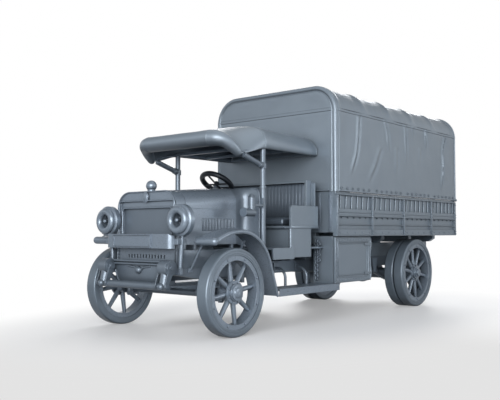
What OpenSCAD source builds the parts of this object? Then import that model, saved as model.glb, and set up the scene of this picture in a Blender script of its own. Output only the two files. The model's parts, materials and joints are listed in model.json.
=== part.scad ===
// Military cargo lorry on solid tyres, with an open cab under a canvas canopy
// and a drop-tail cargo bed under a laced canvas tilt.
// Frame: +X is the lorry's left side, +Y its rear, +Z up, on the ground under
// the middle of its length. Inside the modules y is measured from the front axle.

/* [Wheels] */
// Distance from front axle to rear axle
wheelbase = 4210; // [3900:10:4500]
// Outside diameter of a front tyre
front_tyre_d = 950; // [900:5:1000]
// Width of a front tyre
front_tyre_w = 150; // [130:5:170]
// Outer face of a front tyre from the centre line
front_face_x = 976; // [960:1:1010]
// Outside diameter of a rear tyre
rear_tyre_d = 1016; // [960:4:1040]
// Width of one rear tyre
rear_tyre_w = 140; // [120:2:144]
// Gap between the two tyres of a twin wheel
twin_gap = 14; // [10:1:30]
// Outer face of an outer rear tyre from the centre line
rear_face_x = 972; // [960:1:1000]
// Depth of the rubber on its rim
tyre_depth = 78; // [60:2:90]
// Depth of the wheel felloe under the rubber
felloe_depth = 54; // [40:2:70]
// Spokes in a front wheel
front_spokes = 8; // [8:1:12]
// Spokes in each rear wheel
rear_spokes = 10; // [8:1:14]

/* [Chassis] */
// Inner edge of a frame rail from the centre line
rail_in = 440; // [420:5:450]
// Width of a frame rail
rail_w = 80; // [70:2:84]
// Underside of a frame rail
rail_z = 615; // [600:5:630]
// Depth of a frame rail
rail_h = 147; // [130:1:160]
// Sheet thickness of a frame rail
rail_t = 10; // [6:1:14]
// Steering lock to each side, degrees
steer_lock = 28; // [20:1:30]

/* [Bonnet and cab] */
// Half width of the radiator and bonnet
bonnet_x = 476; // [460:2:490]
// Top of the radiator
radiator_top = 1577; // [1540:1:1600]
// Top of the scuttle
scuttle_top = 1640; // [1620:1:1660]
// Half width of the dash board
dash_x = 682; // [650:2:684]
// Top of the cab floor
cab_floor_z = 935; // [915:5:955]
// Half width of the canopy
canopy_x = 770; // [750:5:800]
// Crown of the canopy over the posts
canopy_top = 2409; // [2380:1:2440]
// Top of the seat board
seat_z = 1195; // [1160:5:1220]

/* [Cargo bed and tilt] */
// Half width of the bed and tilt
bed_x = 1024; // [1004:2:1050]
// Front wall of the bed from the front axle
bed_front = 1873; // [1860:1:1890]
// Length of the bed
bed_len = 3636; // [3500:4:3800]
// Clearance from the rear tyres up to the bed side
bed_over_tyre = 53; // [40:1:80]
// Height of the bed side
bed_side_h = 571; // [540:1:600]
// Height of the tilt above the bed side
tilt_h = 1393; // [1300:1:1450]
// Radius of the tilt's upper corners
tilt_r = 350; // [250:10:400]
// Thickness of the tilt canvas with its hems
tilt_t = 12; // [8:1:16]
// Hoops under the tilt
hoop_count = 6; // [5:1:7]

/* [Hidden] */
$fn = 64;

// Colours
iron = "slategray";
steel = "lightslategray";
canvas = "gray";
timber = "dimgray";
rubber = "darkslategray";

// Running and seating clearances
run_gap = 0.3;
seat_gap = 0.3;
swing_gap = 6;

// Derived wheel sizes
front_r = front_tyre_d / 2;
rear_r = rear_tyre_d / 2;
front_mid_x = front_face_x - front_tyre_w / 2;
front_in_x = front_face_x - front_tyre_w;
twin_w = 2 * rear_tyre_w + twin_gap;
rear_in_x = rear_face_x - twin_w;
spindle_front_r = 34;
spindle_rear_r = 48;
hub_flange_r = 128;
hub_cap_r = 84;
hub_out = 30;

// Derived chassis sizes
rail_out = rail_in + rail_w;
rail_top = rail_z + rail_h;
rail_mid = rail_in + rail_w / 2;
rail_rear = bed_front + bed_len - 60;
front_half_span = 627;
boss_y = 71 - front_half_span;
boss_z = rail_top - 22;
boss_r = 65;
boss_w = 130;

// Front suspension and steering
axle_z = front_r - 25;
axle_tube_r = 45;
spring_w = 70;
leaf_t = 8;
front_leaves = 6;
front_eye_z = axle_z + axle_tube_r + 61;
kingpin_x = 745;
kingpin_r = 18;
barrel_r = 38;
barrel_z0 = axle_z - 52;
barrel_z1 = axle_z + 68;
lug_t = 26;
arm_y = 190;
arm_t = 25;
track_arm_z = axle_z - 40;
drag_x = 555;
drag_arm_r = kingpin_x - drag_x;
drag_arm_z = barrel_z1 + lug_t + 19;
drag_arm_t = 24;
drag_z = drag_arm_z + drag_arm_t + 25;
drag_r = 14;
drop_y = 640;
drop_z = drag_z + drag_arm_r;
drop_x = drag_x + drag_r + 1;
drop_t = 17;
ball_r = 11;

// Rear suspension
rear_spring_x = rail_out + 42;
rear_leaves = 9;
rear_leaf_t = 9;
rear_half_span = 650;
rear_tube_r = 62;
rear_rise = 110;

// Steering column: foot at the steering box, head at the wheel's middle
column_x = -470;
column_foot = [640, 850];
column_head = [1255, 1760];
column_tilt = atan2(column_head[0] - column_foot[0], column_head[1] - column_foot[1]);
column_len = norm(column_head - column_foot);
column_r = 24;
steering_r = 222;

// Bonnet and radiator
radiator_y0 = -411;
radiator_t = 142;
radiator_y1 = radiator_y0 + radiator_t;
radiator_z0 = 790;
core_z0 = 990;
slot_z = [832, 872];
slot_pitch = 48;
bonnet_y0 = radiator_y1 + 3;
rod_r = 12;
bonnet_y1 = 560;
bonnet_t = 6;
bonnet_r = 175;
bonnet_z0 = 1005;
bonnet_rise = atan2(scuttle_top - radiator_top, bonnet_y1 - bonnet_y0);
dash_y = 734;
dash_t = 16;

// Cab and canopy
pillar_x = 712;
pillar_y = 772;
pillar_w = 46;
canopy_front = 8;
canopy_t = 14;
canopy_rear = bed_front - seat_gap;
canopy_low = 2091;

// Bed sides: levels of the sill, boards and rails
bed_z = rear_tyre_d + bed_over_tyre;
bed_top = bed_z + bed_side_h;
tilt_top = bed_top + tilt_h;
sill_h = 87;
mid_rail_z = bed_z + 266;
mid_rail_h = 87;
board_t = 30;
board_x = bed_x - 24;
bed_rear = bed_front + bed_len;
stake_w = 52;
bay_count = 4;
bay = bed_len / bay_count;
floor_t = 40;
floor_top = bed_z + sill_h;
bearer_h = 150;
bearer_z = floor_top - floor_t - bearer_h;
hinge_r = 14;
tail_t = 34;
tail_y = bed_rear + 24;
tail_hinge_z = floor_top - 20;

strap_t = 8;

// Overall placing: the foremost and rearmost points set the middle of the length
shackle_r = 32;
y_shift = (front_half_span + shackle_r - tail_y - tail_t / 2 - strap_t) / 2;

// Propeller shaft, from the gearbox down to the rear axle
shaft_y0 = 1180;
shaft_y1 = wheelbase - 225;
shaft_z0 = 668;
function shaft_z(y) = shaft_z0 + (rear_r - shaft_z0) * (y - shaft_y0) / (shaft_y1 - shaft_y0);

// Locker on each side, under the front of the bed
locker_y0 = bed_front;
locker_y1 = bed_front + 906;
locker_z0 = 468;
bearer_x = 664;
locker_x0 = bearer_x + swing_gap;
locker_x1 = 996;
locker_t = 22;
door_t = 24;
board_z = locker_z0;

// Shared shapes

module both_sides() {
  children();
  mirror([1, 0, 0]) children();
}

// A drawing in y and z, extruded along x from x0
module along_x(x0, w) {
  translate([x0, 0, 0]) rotate([90, 0, 90]) linear_extrude(w) children();
}

// A drawing in x and z, extruded along y from y0
module along_y(y0, len) {
  translate([0, y0 + len, 0]) rotate([90, 0, 0]) linear_extrude(len) children();
}

module block(x, y, z) {
  translate([x[0], y[0], z[0]]) cube([x[1] - x[0], y[1] - y[0], z[1] - z[0]]);
}

// A round bar along x
module bar_x(x0, x1, y, z, r) {
  translate([x0, y, z]) rotate([0, 90, 0]) cylinder(h = x1 - x0, r = r);
}

// A round bar along y
module bar_y(y0, y1, x, z, r) {
  translate([x, y1, z]) rotate([90, 0, 0]) cylinder(h = y1 - y0, r = r);
}

// A round bar between two points
module bar(a, b, r, r2 = undef) {
  d = b - a;
  flat = norm([d[0], d[1]]);
  translate(a) rotate([0, atan2(flat, d[2]), atan2(d[1], d[0])])
    cylinder(h = norm(d), r1 = r, r2 = is_undef(r2) ? r : r2);
}

// A rectangle with all four corners rounded
module rounded(x, z, r) {
  for (i = x, j = z) translate([i + (i == x[0] ? r : -r), j + (j == z[0] ? r : -r)]) circle(r);
  translate([x[0] + r, z[0]]) square([x[1] - x[0] - 2 * r, z[1] - z[0]]);
  translate([x[0], z[0] + r]) square([x[1] - x[0], z[1] - z[0] - 2 * r]);
}

// A wall outline with its two upper corners rounded
module arched(half, z0, z1, r) {
  for (s = [-1, 1]) translate([s * (half - r), z1 - r]) circle(r);
  translate([-half + r, z0]) square([2 * (half - r), z1 - z0]);
  translate([-half, z0]) square([2 * half, z1 - r - z0]);
}

// Chassis

// Lower and upper inside faces of a rail's channel at y, which narrow towards the front boss
function hollow_low(y) = rail_z + rail_t + max(0, (-150 - y) / 320) * (boss_z - boss_r + 6 - rail_z - rail_t);
function hollow_high(y) = rail_top - rail_t + max(0, (-150 - y) / 320) * (boss_z + boss_r - 24 - rail_top + rail_t);

module chassis_rails() {
  color(iron) both_sides() {
    difference() {
      along_x(rail_in, rail_w) polygon([
        [boss_y, boss_z - boss_r + 4], [-150, rail_z], [rail_rear, rail_z],
        [rail_rear, rail_top], [-150, rail_top], [boss_y, boss_z + boss_r - 4]
      ]);
      along_x(rail_in - 1, rail_w - rail_t + 1) polygon([
        [-470, hollow_low(-470)], [-150, hollow_low(-150)], [rail_rear + 1, hollow_low(rail_rear)],
        [rail_rear + 1, hollow_high(rail_rear)], [-150, hollow_high(-150)], [-470, hollow_high(-470)]
      ]);
    }
    bar_x(rail_mid - boss_w / 2, rail_mid + boss_w / 2, boss_y, boss_z, boss_r + 15);
  }
}

// Starting shaft through the front cross member
dog_z = 705;
dog_r = 18;
apron_t = 14;

// y of each cross member, its depth along y, radius and height of its shaft hole
cross_table = [
  [-400, 60, dog_r + 6, dog_z], [1330, 80, 62, shaft_z(1370)], [2720, 80, 62, shaft_z(2760)],
  [wheelbase + 650, 80, 0, 0], [rail_rear - 70, 70, 0, 0]
];

module cross_members() {
  color(iron) for (c = cross_table) difference() {
    along_x(-rail_out + rail_t, 2 * (rail_out - rail_t)) polygon([
      [c[0], hollow_low(c[0])], [c[0] + c[1], hollow_low(c[0] + c[1])],
      [c[0] + c[1], hollow_high(c[0] + c[1])], [c[0], hollow_high(c[0])]
    ]);
    if (c[2] > 0) bar_y(c[0] - 1, c[0] + c[1] + 1, 0, c[3], c[2]);
  }
  // dished apron on the front member, round the starting shaft
  color(iron) difference() {
    along_y(cross_table[0][0] - apron_t, apron_t + 1) polygon([
      [-370, boss_z + 10], [-370, boss_z - 60], [-290, rail_z - 20], [-170, rail_z - 75],
      [170, rail_z - 75], [290, rail_z - 20], [370, boss_z - 60], [370, boss_z + 10]
    ]);
    bar_y(cross_table[0][0] - apron_t - 1, cross_table[0][0] + 2, 0, dog_z, dog_r + 6);
  }
  // towing jaw behind the rear member
  color(iron) for (z = [jaw_z - jaw_gap / 2 - jaw_t, jaw_z + jaw_gap / 2]) difference() {
    block([-45, 45], [rail_rear - 1, rail_rear + 50], [z, z + jaw_t]);
    translate([0, rail_rear + 24, z - 1]) cylinder(h = jaw_t + 2, r = jaw_r);
  }
}

// Towing jaw: bore, middle, gap and plate
jaw_r = 16;
jaw_z = 690;
jaw_gap = 34;
jaw_t = 18;

// One leaf spring: y-z outline of leaves in an arc, eyes up at both ends
module leaves(half_span, rise, count, t, z_top, step) {
  r = (half_span * half_span + rise * rise) / (2 * rise);
  for (i = [0:count - 1]) {
    half = half_span - i * step;
    intersection() {
      difference() {
        translate([0, z_top + r]) circle(r + (i + 1) * t, $fn = 180);
        translate([0, z_top + r]) circle(r + i * t, $fn = 180);
      }
      translate([-half, z_top - count * t - 1]) square([2 * half, rise + count * t + 2]);
    }
  }
}

module front_springs() {
  pack_z = axle_z + axle_tube_r;
  rise = front_eye_z - pack_z - front_leaves * leaf_t;
  color(iron) both_sides() {
    along_x(rail_mid - spring_w / 2, spring_w)
      leaves(front_half_span, rise, front_leaves, leaf_t, pack_z + front_leaves * leaf_t, 92);
    for (s = [-1, 1]) bar_x(rail_mid - spring_w / 2, rail_mid + spring_w / 2, s * front_half_span, front_eye_z, 22);
    // front shackle plates, beside the rail's boss
    for (x = [rail_mid - boss_w / 2 - 12, rail_mid + boss_w / 2]) along_x(x, 12) shackle_outline();
    bar_x(rail_mid - boss_w / 2 - 20, rail_mid + boss_w / 2 + 20, -front_half_span, front_eye_z, 15);
    for (x = [rail_mid - boss_w / 2 - 24, rail_mid + boss_w / 2 + 12]) {
      bar_x(x, x + 12, -front_half_span, front_eye_z, 28);
      bar_x(x, x + 12, boss_y, boss_z, 34);
    }
    // rear hanger under the rail
    for (x = [rail_in - 6, rail_out - 8]) block([x, x + 14], [front_half_span - 28, front_half_span + 28], [front_eye_z - 26, rail_z]);
    block([rail_in - 6, rail_out + 6], [front_half_span - 28, front_half_span + 28], [rail_z - 14, rail_z]);
    // clips round the pack
    for (y = [-60, 60]) block([rail_mid - 42, rail_mid + 42], [y - 9, y + 9], [pack_z + 2, pack_z + front_leaves * leaf_t + 14]);
  }
}

module shackle_outline() {
  translate([boss_y, boss_z]) circle(44);
  translate([-front_half_span, front_eye_z]) circle(shackle_r);
  polygon([
    [boss_y - 42, boss_z - 10], [boss_y + 42, boss_z - 14],
    [-front_half_span + 31, front_eye_z + 6], [-front_half_span - 31, front_eye_z + 10]
  ]);
}

module rear_springs() {
  pack_top = rear_r - rear_tube_r;
  color(iron) both_sides() translate([0, wheelbase, 0]) {
    along_x(rear_spring_x - spring_w / 2, spring_w)
      leaves(rear_half_span, rear_rise, rear_leaves, rear_leaf_t, pack_top, 64);
    for (s = [-1, 1]) {
      eye_y = s * rear_half_span;
      eye_z = pack_top + rear_rise - 4;
      bar_x(rear_spring_x - spring_w / 2, rear_spring_x + spring_w / 2, eye_y, eye_z, 26);
      // hanger on the outside of the rail
      difference() {
        along_x(rail_out, rear_spring_x + spring_w / 2 + 14 - rail_out) polygon([
          [eye_y - 70, rail_top - 20], [eye_y + 70, rail_top - 20], [eye_y + 32, eye_z - 24], [eye_y - 32, eye_z - 24]
        ]);
        block([rear_spring_x - spring_w / 2 - 0.01, rear_spring_x + spring_w / 2], [eye_y - 90, eye_y + 90], [eye_z - 60, rail_z]);
      }
    }
    for (y = [-75, 75]) block([rear_spring_x - 43, rear_spring_x + 43], [y - 10, y + 10], [pack_top - rear_leaves * rear_leaf_t - 16, pack_top - 1]);
  }
}

module front_axle() {
  color(iron) {
    bar_x(-660, 660, 0, axle_z, axle_tube_r);
    both_sides() {
      block([rail_mid - 50, rail_mid + 50], [-72, 72], [axle_z, axle_z + axle_tube_r]);
      difference() {
        union() {
          block([640, 690], [-48, 48], [barrel_z0 - lug_t, barrel_z1 + lug_t]);
          for (z = [barrel_z0 - lug_t, barrel_z1]) {
            block([680, kingpin_x], [-40, 40], [z, z + lug_t]);
            translate([kingpin_x, 0, z]) cylinder(h = lug_t, r = 40);
          }
        }
        translate([kingpin_x, 0, barrel_z0 - lug_t - 1])
          cylinder(h = barrel_z1 - barrel_z0 + 2 * lug_t + 2, r = kingpin_r + run_gap);
      }
    }
  }
}

module rear_axle() {
  bulb_r = 178;
  sleeve_r = 104;
  bulb_angle = acos(sleeve_r / bulb_r);
  bulb = [for (i = [0 : 18]) let (u = bulb_angle * (i / 9 - 1)) bulb_r * [cos(u), sin(u)]];
  half = [
    [sleeve_r, 330], [rear_tube_r - 4, 330], [rear_tube_r - 4, rear_in_x - 80], [spindle_rear_r, rear_in_x - 80],
    [spindle_rear_r, rear_face_x - 20], [0, rear_face_x - 20]
  ];
  color(iron) translate([0, wheelbase, 0]) {
    translate([0, 0, rear_r]) rotate([0, 90, 0]) rotate_extrude($fn = 96)
      polygon(concat([for (i = [5 : -1 : 0]) [half[i][0], -half[i][1]]], bulb, half));
    // pinion nose
    bar_y(-225, -100, 0, rear_r, 92);
    both_sides() block([rear_spring_x - spring_w / 2, rear_spring_x + spring_w / 2], [-30, 30], [rear_r - rear_tube_r + seat_gap, rear_r]);
  }
}

module engine() {
  color(iron) {
    along_y(-190, 650) polygon([
      [-120, 570], [120, 570], [215, 800], [190, 1330], [-190, 1330], [-215, 800]
    ]);
    // starting shaft, out through the front cross member to its dog
    bar_y(-470, -180, 0, dog_z, dog_r);
    bar_y(-486, -430, 0, dog_z, 34);
    // arms on the frame rails
    both_sides() block([150, rail_mid], [40, 120], [rail_top, rail_top + 40]);
  }
}

module gearbox() {
  color(iron) {
    along_y(460, 640) polygon([[-130, 560], [130, 560], [170, 640], [170, 745], [-170, 745], [-170, 640]]);
    bar_y(1100, 1180, 0, shaft_z(1140), 70);
  }
}

module propeller_shaft() {
  a = [0, shaft_y0 + 4, shaft_z(shaft_y0 + 4)];
  b = [0, shaft_y1 - 4, shaft_z(shaft_y1 - 4)];
  color(steel) {
    bar(a, b, 38);
    bar(a, a + (b - a) * 0.035, 58);
    bar(b + (a - b) * 0.035, b, 58);
  }
}

// Nose: radiator, lamps and front board

module radiator_shell() {
  bead = 28;
  core_x = 404;
  core_top = radiator_top - 188;
  color(steel) {
    difference() {
      along_y(radiator_y0, radiator_t) arched(bonnet_x, radiator_z0, radiator_top, 185);
      // stepped border and the window for the core
      along_y(radiator_y0 - 1, 17) arched(bonnet_x - bead, core_z0 - 30, radiator_top - 110, 24);
      along_y(radiator_y0 - 1, radiator_t + 2) arched(core_x, core_z0, core_top, 40);
      // air slots below the core
      for (i = [-6 : 6]) block([i * slot_pitch - 12, i * slot_pitch + 12], [radiator_y0 - 1, radiator_y0 + 26], slot_z);
    }
    bonnet_ledge(radiator_y1 - 1, ledge, radiator_top - bonnet_t - 0.8);
    // filler neck and ball cap
    translate([0, radiator_y0 + radiator_t / 2, radiator_top - 1]) cylinder(h = 24, r = 44);
    translate([0, radiator_y0 + radiator_t / 2, radiator_top + 61]) sphere(61);
    // plain oval boss on the header tank
    bar_y(radiator_y0 - 12, radiator_y0 + 1, 0, radiator_top - 66, 34);
    // feet on the frame
    for (s = [-1, 1]) block([s * 400 - 50, s * 400 + 50], [radiator_y0 + 20, radiator_y1 - 20], [rail_top + 24, radiator_z0 + 1]);
  }
}

module radiator_core() {
  core_x = 404;
  core_top = radiator_top - 188;
  color(iron) along_y(radiator_y0 + 30, 84) arched(core_x - seat_gap, core_z0 + seat_gap, core_top - seat_gap, 40);
}

lamp_x = 590;
lamp_y = -545;
lamp_z = 1246;
lamp_r = 172;
lamp_rim_r = 148;
pillar_r = 24;
pillar_foot = [rail_out + pillar_r + 2, -424, rail_top - 40];
pillar_head = [lamp_x - 12, -424, lamp_z - lamp_r + 34];
lamp_len = 210;

module headlamps() {
  color(steel) both_sides() {
    translate([lamp_x, lamp_y, lamp_z]) rotate([-90, 0, 0]) rotate_extrude() lamp_profile();
    // pillar from the rail, with a collar under the lamp
    bar(pillar_foot, pillar_head, pillar_r);
    translate([lamp_x - 12, -424, lamp_z - lamp_r - 10]) cylinder(h = 40, r = 30);
    block([rail_out, rail_out + 2 * pillar_r], [-446, -402], [rail_top - 90, rail_top - 20]);
    // burner in the bowl
    bar_y(lamp_y + 26, lamp_y + 130, lamp_x, lamp_z, 20);
    translate([lamp_x, lamp_y + 30, lamp_z]) sphere(24);
  }
}

// Radius and depth of a lamp: fat round rim, bowl, wide drum and a smaller domed back beside the radiator
module lamp_profile() {
  translate([lamp_rim_r - 40, 40]) circle(40);
  difference() {
    polygon([
      [0, 90], [lamp_rim_r - 40, 40], [lamp_r - 16, 56], [lamp_r, 66], [lamp_r, 122], [lamp_r - 10, 129],
      [lamp_r - 66, 131], [lamp_r - 66, lamp_len - 40], [lamp_r - 90, lamp_len], [0, lamp_len + 16]
    ]);
    polygon([[-1, 118], [55, 104], [lamp_rim_r - 70, 40], [-1, 30]]);
  }
}

guard_y = -555;
guard_x = 528;
guard_z = [944, 1101];
guard_t = 10;
guard_bend = 70;

module front_board() {
  color(steel) difference() {
    guard();
    both_sides() bar_y(guard_y - 40, guard_y + guard_bend + 60, lamp_x, lamp_z, lamp_r + swing_gap);
    both_sides() bar(pillar_foot, pillar_head, pillar_r + seat_gap);
  }
}

module guard() {
  union() {
    translate([0, 0, guard_z[0]]) linear_extrude(guard_z[1] - guard_z[0]) {
      translate([-guard_x + guard_bend, guard_y]) square([2 * (guard_x - guard_bend), guard_t]);
      for (s = [-1, 1]) intersection() {
        translate([s * (guard_x - guard_bend), guard_y + guard_bend]) difference() {
          circle(guard_bend);
          circle(guard_bend - guard_t);
        }
        translate([s > 0 ? guard_x - guard_bend : -guard_x, guard_y]) square([guard_bend, guard_bend]);
      }
    }
    // blank plate with a raised border, right of the middle
    difference() {
      block([-382, 236], [guard_y - 16, guard_y], [guard_z[0] + 4, guard_z[1] - 4]);
      block([-382 + 20, 236 - 20], [guard_y - 17, guard_y - 10], [guard_z[0] + 22, guard_z[1] - 22]);
    }
    // arms back to the lamp pillars
    both_sides() {
      block([guard_x - guard_t, pillar_foot[0] + 40], [guard_y + guard_bend - 16, guard_y + guard_bend], [990, 1050]);
      block([pillar_foot[0] + 18, pillar_foot[0] + 40], [guard_y + guard_bend - 16, pillar_foot[1]], [990, 1050]);
    }
  }
}

// Bonnet: two lids hinged along the crown

module bonnet_outline(inset) {
  arched(bonnet_x - inset, 900, radiator_top - inset, bonnet_r - inset);
}

louvre_pitch = 25;
louvre_w = 9;
louvre_y0 = -17;
louvre_z = [1133, 1277];
// Line where a lid meets the fixed side below it
bonnet_fold = 1380;
// Depth of the ledges under a lid's front and rear edges
ledge = 20;

// A ledge that follows the lids' inner face from y0, with its crown at top
module bonnet_ledge(y0, len, top) {
  half = bonnet_x - bonnet_t - 0.8;
  r = bonnet_r - bonnet_t;
  intersection() {
    along_y(y0, len) difference() {
      arched(half, bonnet_z0, top, r);
      arched(half - 8, bonnet_z0 - 1, top - 8, r - 8);
    }
    both_sides() block([rod_r + 8, bonnet_x], [y0 - 1, y0 + len + 1], [bonnet_fold + 18, top + 10]);
  }
}

// The bonnet's shell from inset a to inset b, rising to the rear along its crown
module bonnet_shell(a, b) {
  translate([0, bonnet_y0, radiator_top]) rotate([bonnet_rise, 0, 0]) translate([0, -bonnet_y0, -radiator_top])
    along_y(bonnet_y0 - 60, bonnet_y1 - bonnet_y0 + 120) difference() {
      bonnet_outline(a);
      bonnet_outline(b);
    }
}

module bonnet_half() {
  intersection() {
    bonnet_shell(0, bonnet_t);
    block([rod_r + 4, bonnet_x + 10], [bonnet_y0, bonnet_y1], [bonnet_fold, scuttle_top + 40]);
  }
}

module bonnet_left() {
  color(steel) bonnet_half();
}

module bonnet_right() {
  color(steel) mirror([1, 0, 0]) bonnet_half();
}

// Fixed louvred sides, each with a ledge behind the lid's lower edge
module bonnet_sides() {
  color(steel) both_sides() {
    difference() {
      block([bonnet_x - bonnet_t, bonnet_x], [bonnet_y0, bonnet_y1], [bonnet_z0, bonnet_fold - seat_gap]);
      for (y = [louvre_y0:louvre_pitch:bonnet_y1 - 40]) block([bonnet_x - 20, bonnet_x + 20], [y, y + louvre_w], louvre_z);
    }
    block([bonnet_x - 2 * bonnet_t - seat_gap, bonnet_x - bonnet_t - seat_gap], [bonnet_y0, bonnet_y1],
      [bonnet_fold - 40, bonnet_fold + 14]);
    block([bonnet_x - bonnet_t - 1, bonnet_x - 2], [bonnet_y0, bonnet_y1], [bonnet_fold - 40, bonnet_fold - 20]);
    // sill down to the frame rail
    block([bonnet_x - 40, bonnet_x], [bonnet_y0, bonnet_y1], [bonnet_z0 - 24, bonnet_z0]);
    for (y = [-140, bonnet_y1 - 80]) block([bonnet_x - 36, bonnet_x - 6], [y, y + 40], [rail_top, bonnet_z0 - 23]);
  }
}

// Rod along the crown on which both lids hinge
module bonnet_rod() {
  color(steel) translate([0, bonnet_y0, radiator_top]) rotate([bonnet_rise, 0, 0])
    bar_y(-bonnet_y0 + radiator_y1 + seat_gap, norm([scuttle_top - radiator_top, bonnet_y1 - bonnet_y0]) + 1.7, 0, -bonnet_t / 2, rod_r);
}

// One thin slice of the scuttle: half width, y, lower edge, inset
module scuttle_slice(half, y, r, inset) {
  top = scuttle_top - (y < dash_y - 1 ? 3 : 0);
  translate([0, y, 0]) rotate([90, 0, 0]) linear_extrude(0.5, center = true)
    arched(half - inset, cab_floor_z + (dash_y - y) * 0.3 + (inset > 0 ? -50 : 0), top - inset, r - inset, $fn = 32);
}

// half width, y and corner radius where the bonnet widens to the dash
scuttle_table = [
  [bonnet_x - 2, bonnet_y1 + 4, bonnet_r], [bonnet_x + 30, bonnet_y1 + 80, bonnet_r - 20],
  [bonnet_x + 100, bonnet_y1 + 140, bonnet_r - 60], [dash_x, dash_y, 80]
];

module scuttle() {
  color(steel) {
    difference() {
      for (i = [0:2]) hull() for (s = [scuttle_table[i], scuttle_table[i + 1]]) scuttle_slice(s[0], s[1], s[2], 0);
      for (i = [0:2]) hull() for (s = [scuttle_table[i], scuttle_table[i + 1]]) scuttle_slice(s[0], s[1] + (i == 2 && s[1] == dash_y ? 2 : 0) - (i == 0 && s[1] < bonnet_y1 + 10 ? 2 : 0), s[2], bonnet_t);
    }
    bonnet_ledge(bonnet_y1 - ledge, ledge + 10, scuttle_top - bonnet_t - 2.4);
    difference() {
      along_y(dash_y, dash_t) arched(dash_x, cab_floor_z, scuttle_top, 80);
      column_bar(column_r + 8);
    }
  }
}

module column_bar(r) {
  bar([column_x, column_foot[0], column_foot[1]], [column_x, column_head[0], column_head[1]], r);
}

module side_lamps() {
  color(steel) both_sides() {
    // level barrel, lantern above it and the bracket to the dash
    bar_y(400, 572, dash_x + 50, 1345, 46);
    bar_y(390, 404, dash_x + 50, 1345, 54);
    bar_y(556, 580, dash_x + 50, 1345, 40);
    translate([dash_x + 50, 540, 1345]) cylinder(h = 180, r = 40);
    translate([dash_x + 50, 540, 1522]) cylinder(h = 40, r1 = 48, r2 = 18);
    block([dash_x + 38, dash_x + 62], [540, dash_y + 8], [1420, 1444]);
    block([dash_x + seat_gap, dash_x + 62], [dash_y + 2, dash_y + 14], [1400, 1520]);
  }
}

// Cab

// Front of the seat, its back and the top of the back
seat_y0 = 1140;
back_y = 1640;
back_top = 1775;

// Sills, and the sides of the seat box that follow them in line with the cheeks
sill_x = 866;
sill_z = cab_floor_z - 135;
cheek_x = 822;
cheek_t = 28;
seat_side_y = seat_y0 + 10;

module cab_floor() {
  color(timber) {
    block([-sill_x, sill_x], [dash_y + dash_t, seat_side_y], [cab_floor_z - 20, cab_floor_z]);
    block([-cheek_x + seat_gap, cheek_x - seat_gap], [seat_side_y - 1, bed_front - 2],
      [cab_floor_z - 20, cab_floor_z]);
    difference() {
      block([-dash_x, dash_x], [dash_y - 60, dash_y + dash_t + 1], [cab_floor_z - 20, cab_floor_z - seat_gap]);
      column_bar(column_r + 8);
    }
    // sills
    both_sides() block([sill_x, sill_x + 26], [742, seat_side_y], [sill_z, cab_floor_z]);
    // cross timbers on the frame
    for (y = [860, 1560]) block([-rail_out, rail_out], [y, y + 80], [rail_top, cab_floor_z - 20]);
  }
}

brace_low = 1897;
brace_y = 400;
brace_z = 2010;
brace_r = 20;
bow_z = canopy_low + 22;
bow_h = 34;

// Pillar beside the dash, round post above it and the brace that carries the visor
module canopy_posts() {
  color(steel) both_sides() {
    block([pillar_x - pillar_w / 2, pillar_x + pillar_w / 2], [dash_y + dash_t, dash_y + dash_t + pillar_w], [cab_floor_z, scuttle_top]);
    translate([pillar_x, pillar_y, scuttle_top - 1]) cylinder(h = bow_z - scuttle_top + 1, r = 22);
    translate([pillar_x, pillar_y, scuttle_top - 1]) cylinder(h = 26, r1 = 31, r2 = 25);
    bar([pillar_x, pillar_y, brace_low], [pillar_x, brace_y, brace_z], brace_r);
    bar([pillar_x, pillar_y - 70, brace_low + 21], [pillar_x, pillar_y, brace_low], 26);
    translate([pillar_x, pillar_y, brace_low - 34]) cylinder(h = 66, r = 31);
  }
}

// Side rails and cross bows under the canopy
module canopy_bows() {
  color(steel) {
    both_sides() {
      block([pillar_x - 20, pillar_x + 20], [pillar_y - 30, canopy_rear - seat_gap], [bow_z, bow_z + bow_h]);
      bar([pillar_x, pillar_y, bow_z + bow_h / 2], [pillar_x, brace_y - 30, brace_z + brace_r + 10 + seat_gap], 10);
    }
    for (y = [pillar_y - 20, 1300, canopy_rear - 60])
      block([-pillar_x + 20 + seat_gap, pillar_x - 20 - seat_gap], [y, y + 40], [bow_z, bow_z + bow_h]);
  }
}

// y, half width, lower edge and crown of the canopy's sections, radius of the rolled edge and its drop below the crown
visor_low = canopy_low - 101;
canopy_table = [
  [canopy_front, canopy_x - 190, canopy_low + 10, canopy_top - 150, 70, 12],
  [canopy_front + 92, canopy_x - 105, canopy_low - 21, canopy_top - 140, 85, 20],
  [brace_y - 80, canopy_x - 25, visor_low, canopy_top - 100, 100, 60],
  [760, canopy_x, canopy_low, canopy_top, 110, 70],
  [canopy_rear - 0.3, canopy_x - 10, canopy_low, canopy_top - 40, 110, 70]
];
canopy_last = len(canopy_table) - 1;

module canopy_slice(s, inset, shift) {
  translate([0, s[0] + shift, 0]) rotate([90, 0, 0]) linear_extrude(0.6, center = true)
    canopy_outline(s[1] - inset, s[2] - (inset > 0 ? 60 : 0), s[3] - inset, s[4] - inset, s[5]);
}

// Roof outline: a shallow crown between two fat rolled edges
module canopy_outline(half, z0, z1, r, drop) {
  for (s = [-1, 1]) translate([s * (half - r), z1 - drop - r]) circle(r, $fn = 32);
  polygon([[-half, z0], [half, z0], [half, z1 - drop - r], [half - r, z1 - drop], [half * 0.5, z1 - drop / 4], [0, z1],
    [-half * 0.5, z1 - drop / 4], [-half + r, z1 - drop], [-half, z1 - drop - r]]);
}

module canopy() {
  color(canvas) difference() {
    for (i = [1 : canopy_last]) hull() for (k = [i - 1, i]) canopy_slice(canopy_table[k], 0, 0);
    for (i = [1 : canopy_last]) hull() for (k = [i - 1, i])
      canopy_slice(canopy_table[k], canopy_t, k == 0 ? canopy_t : k == canopy_last ? 2 : 0);
  }
}

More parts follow.
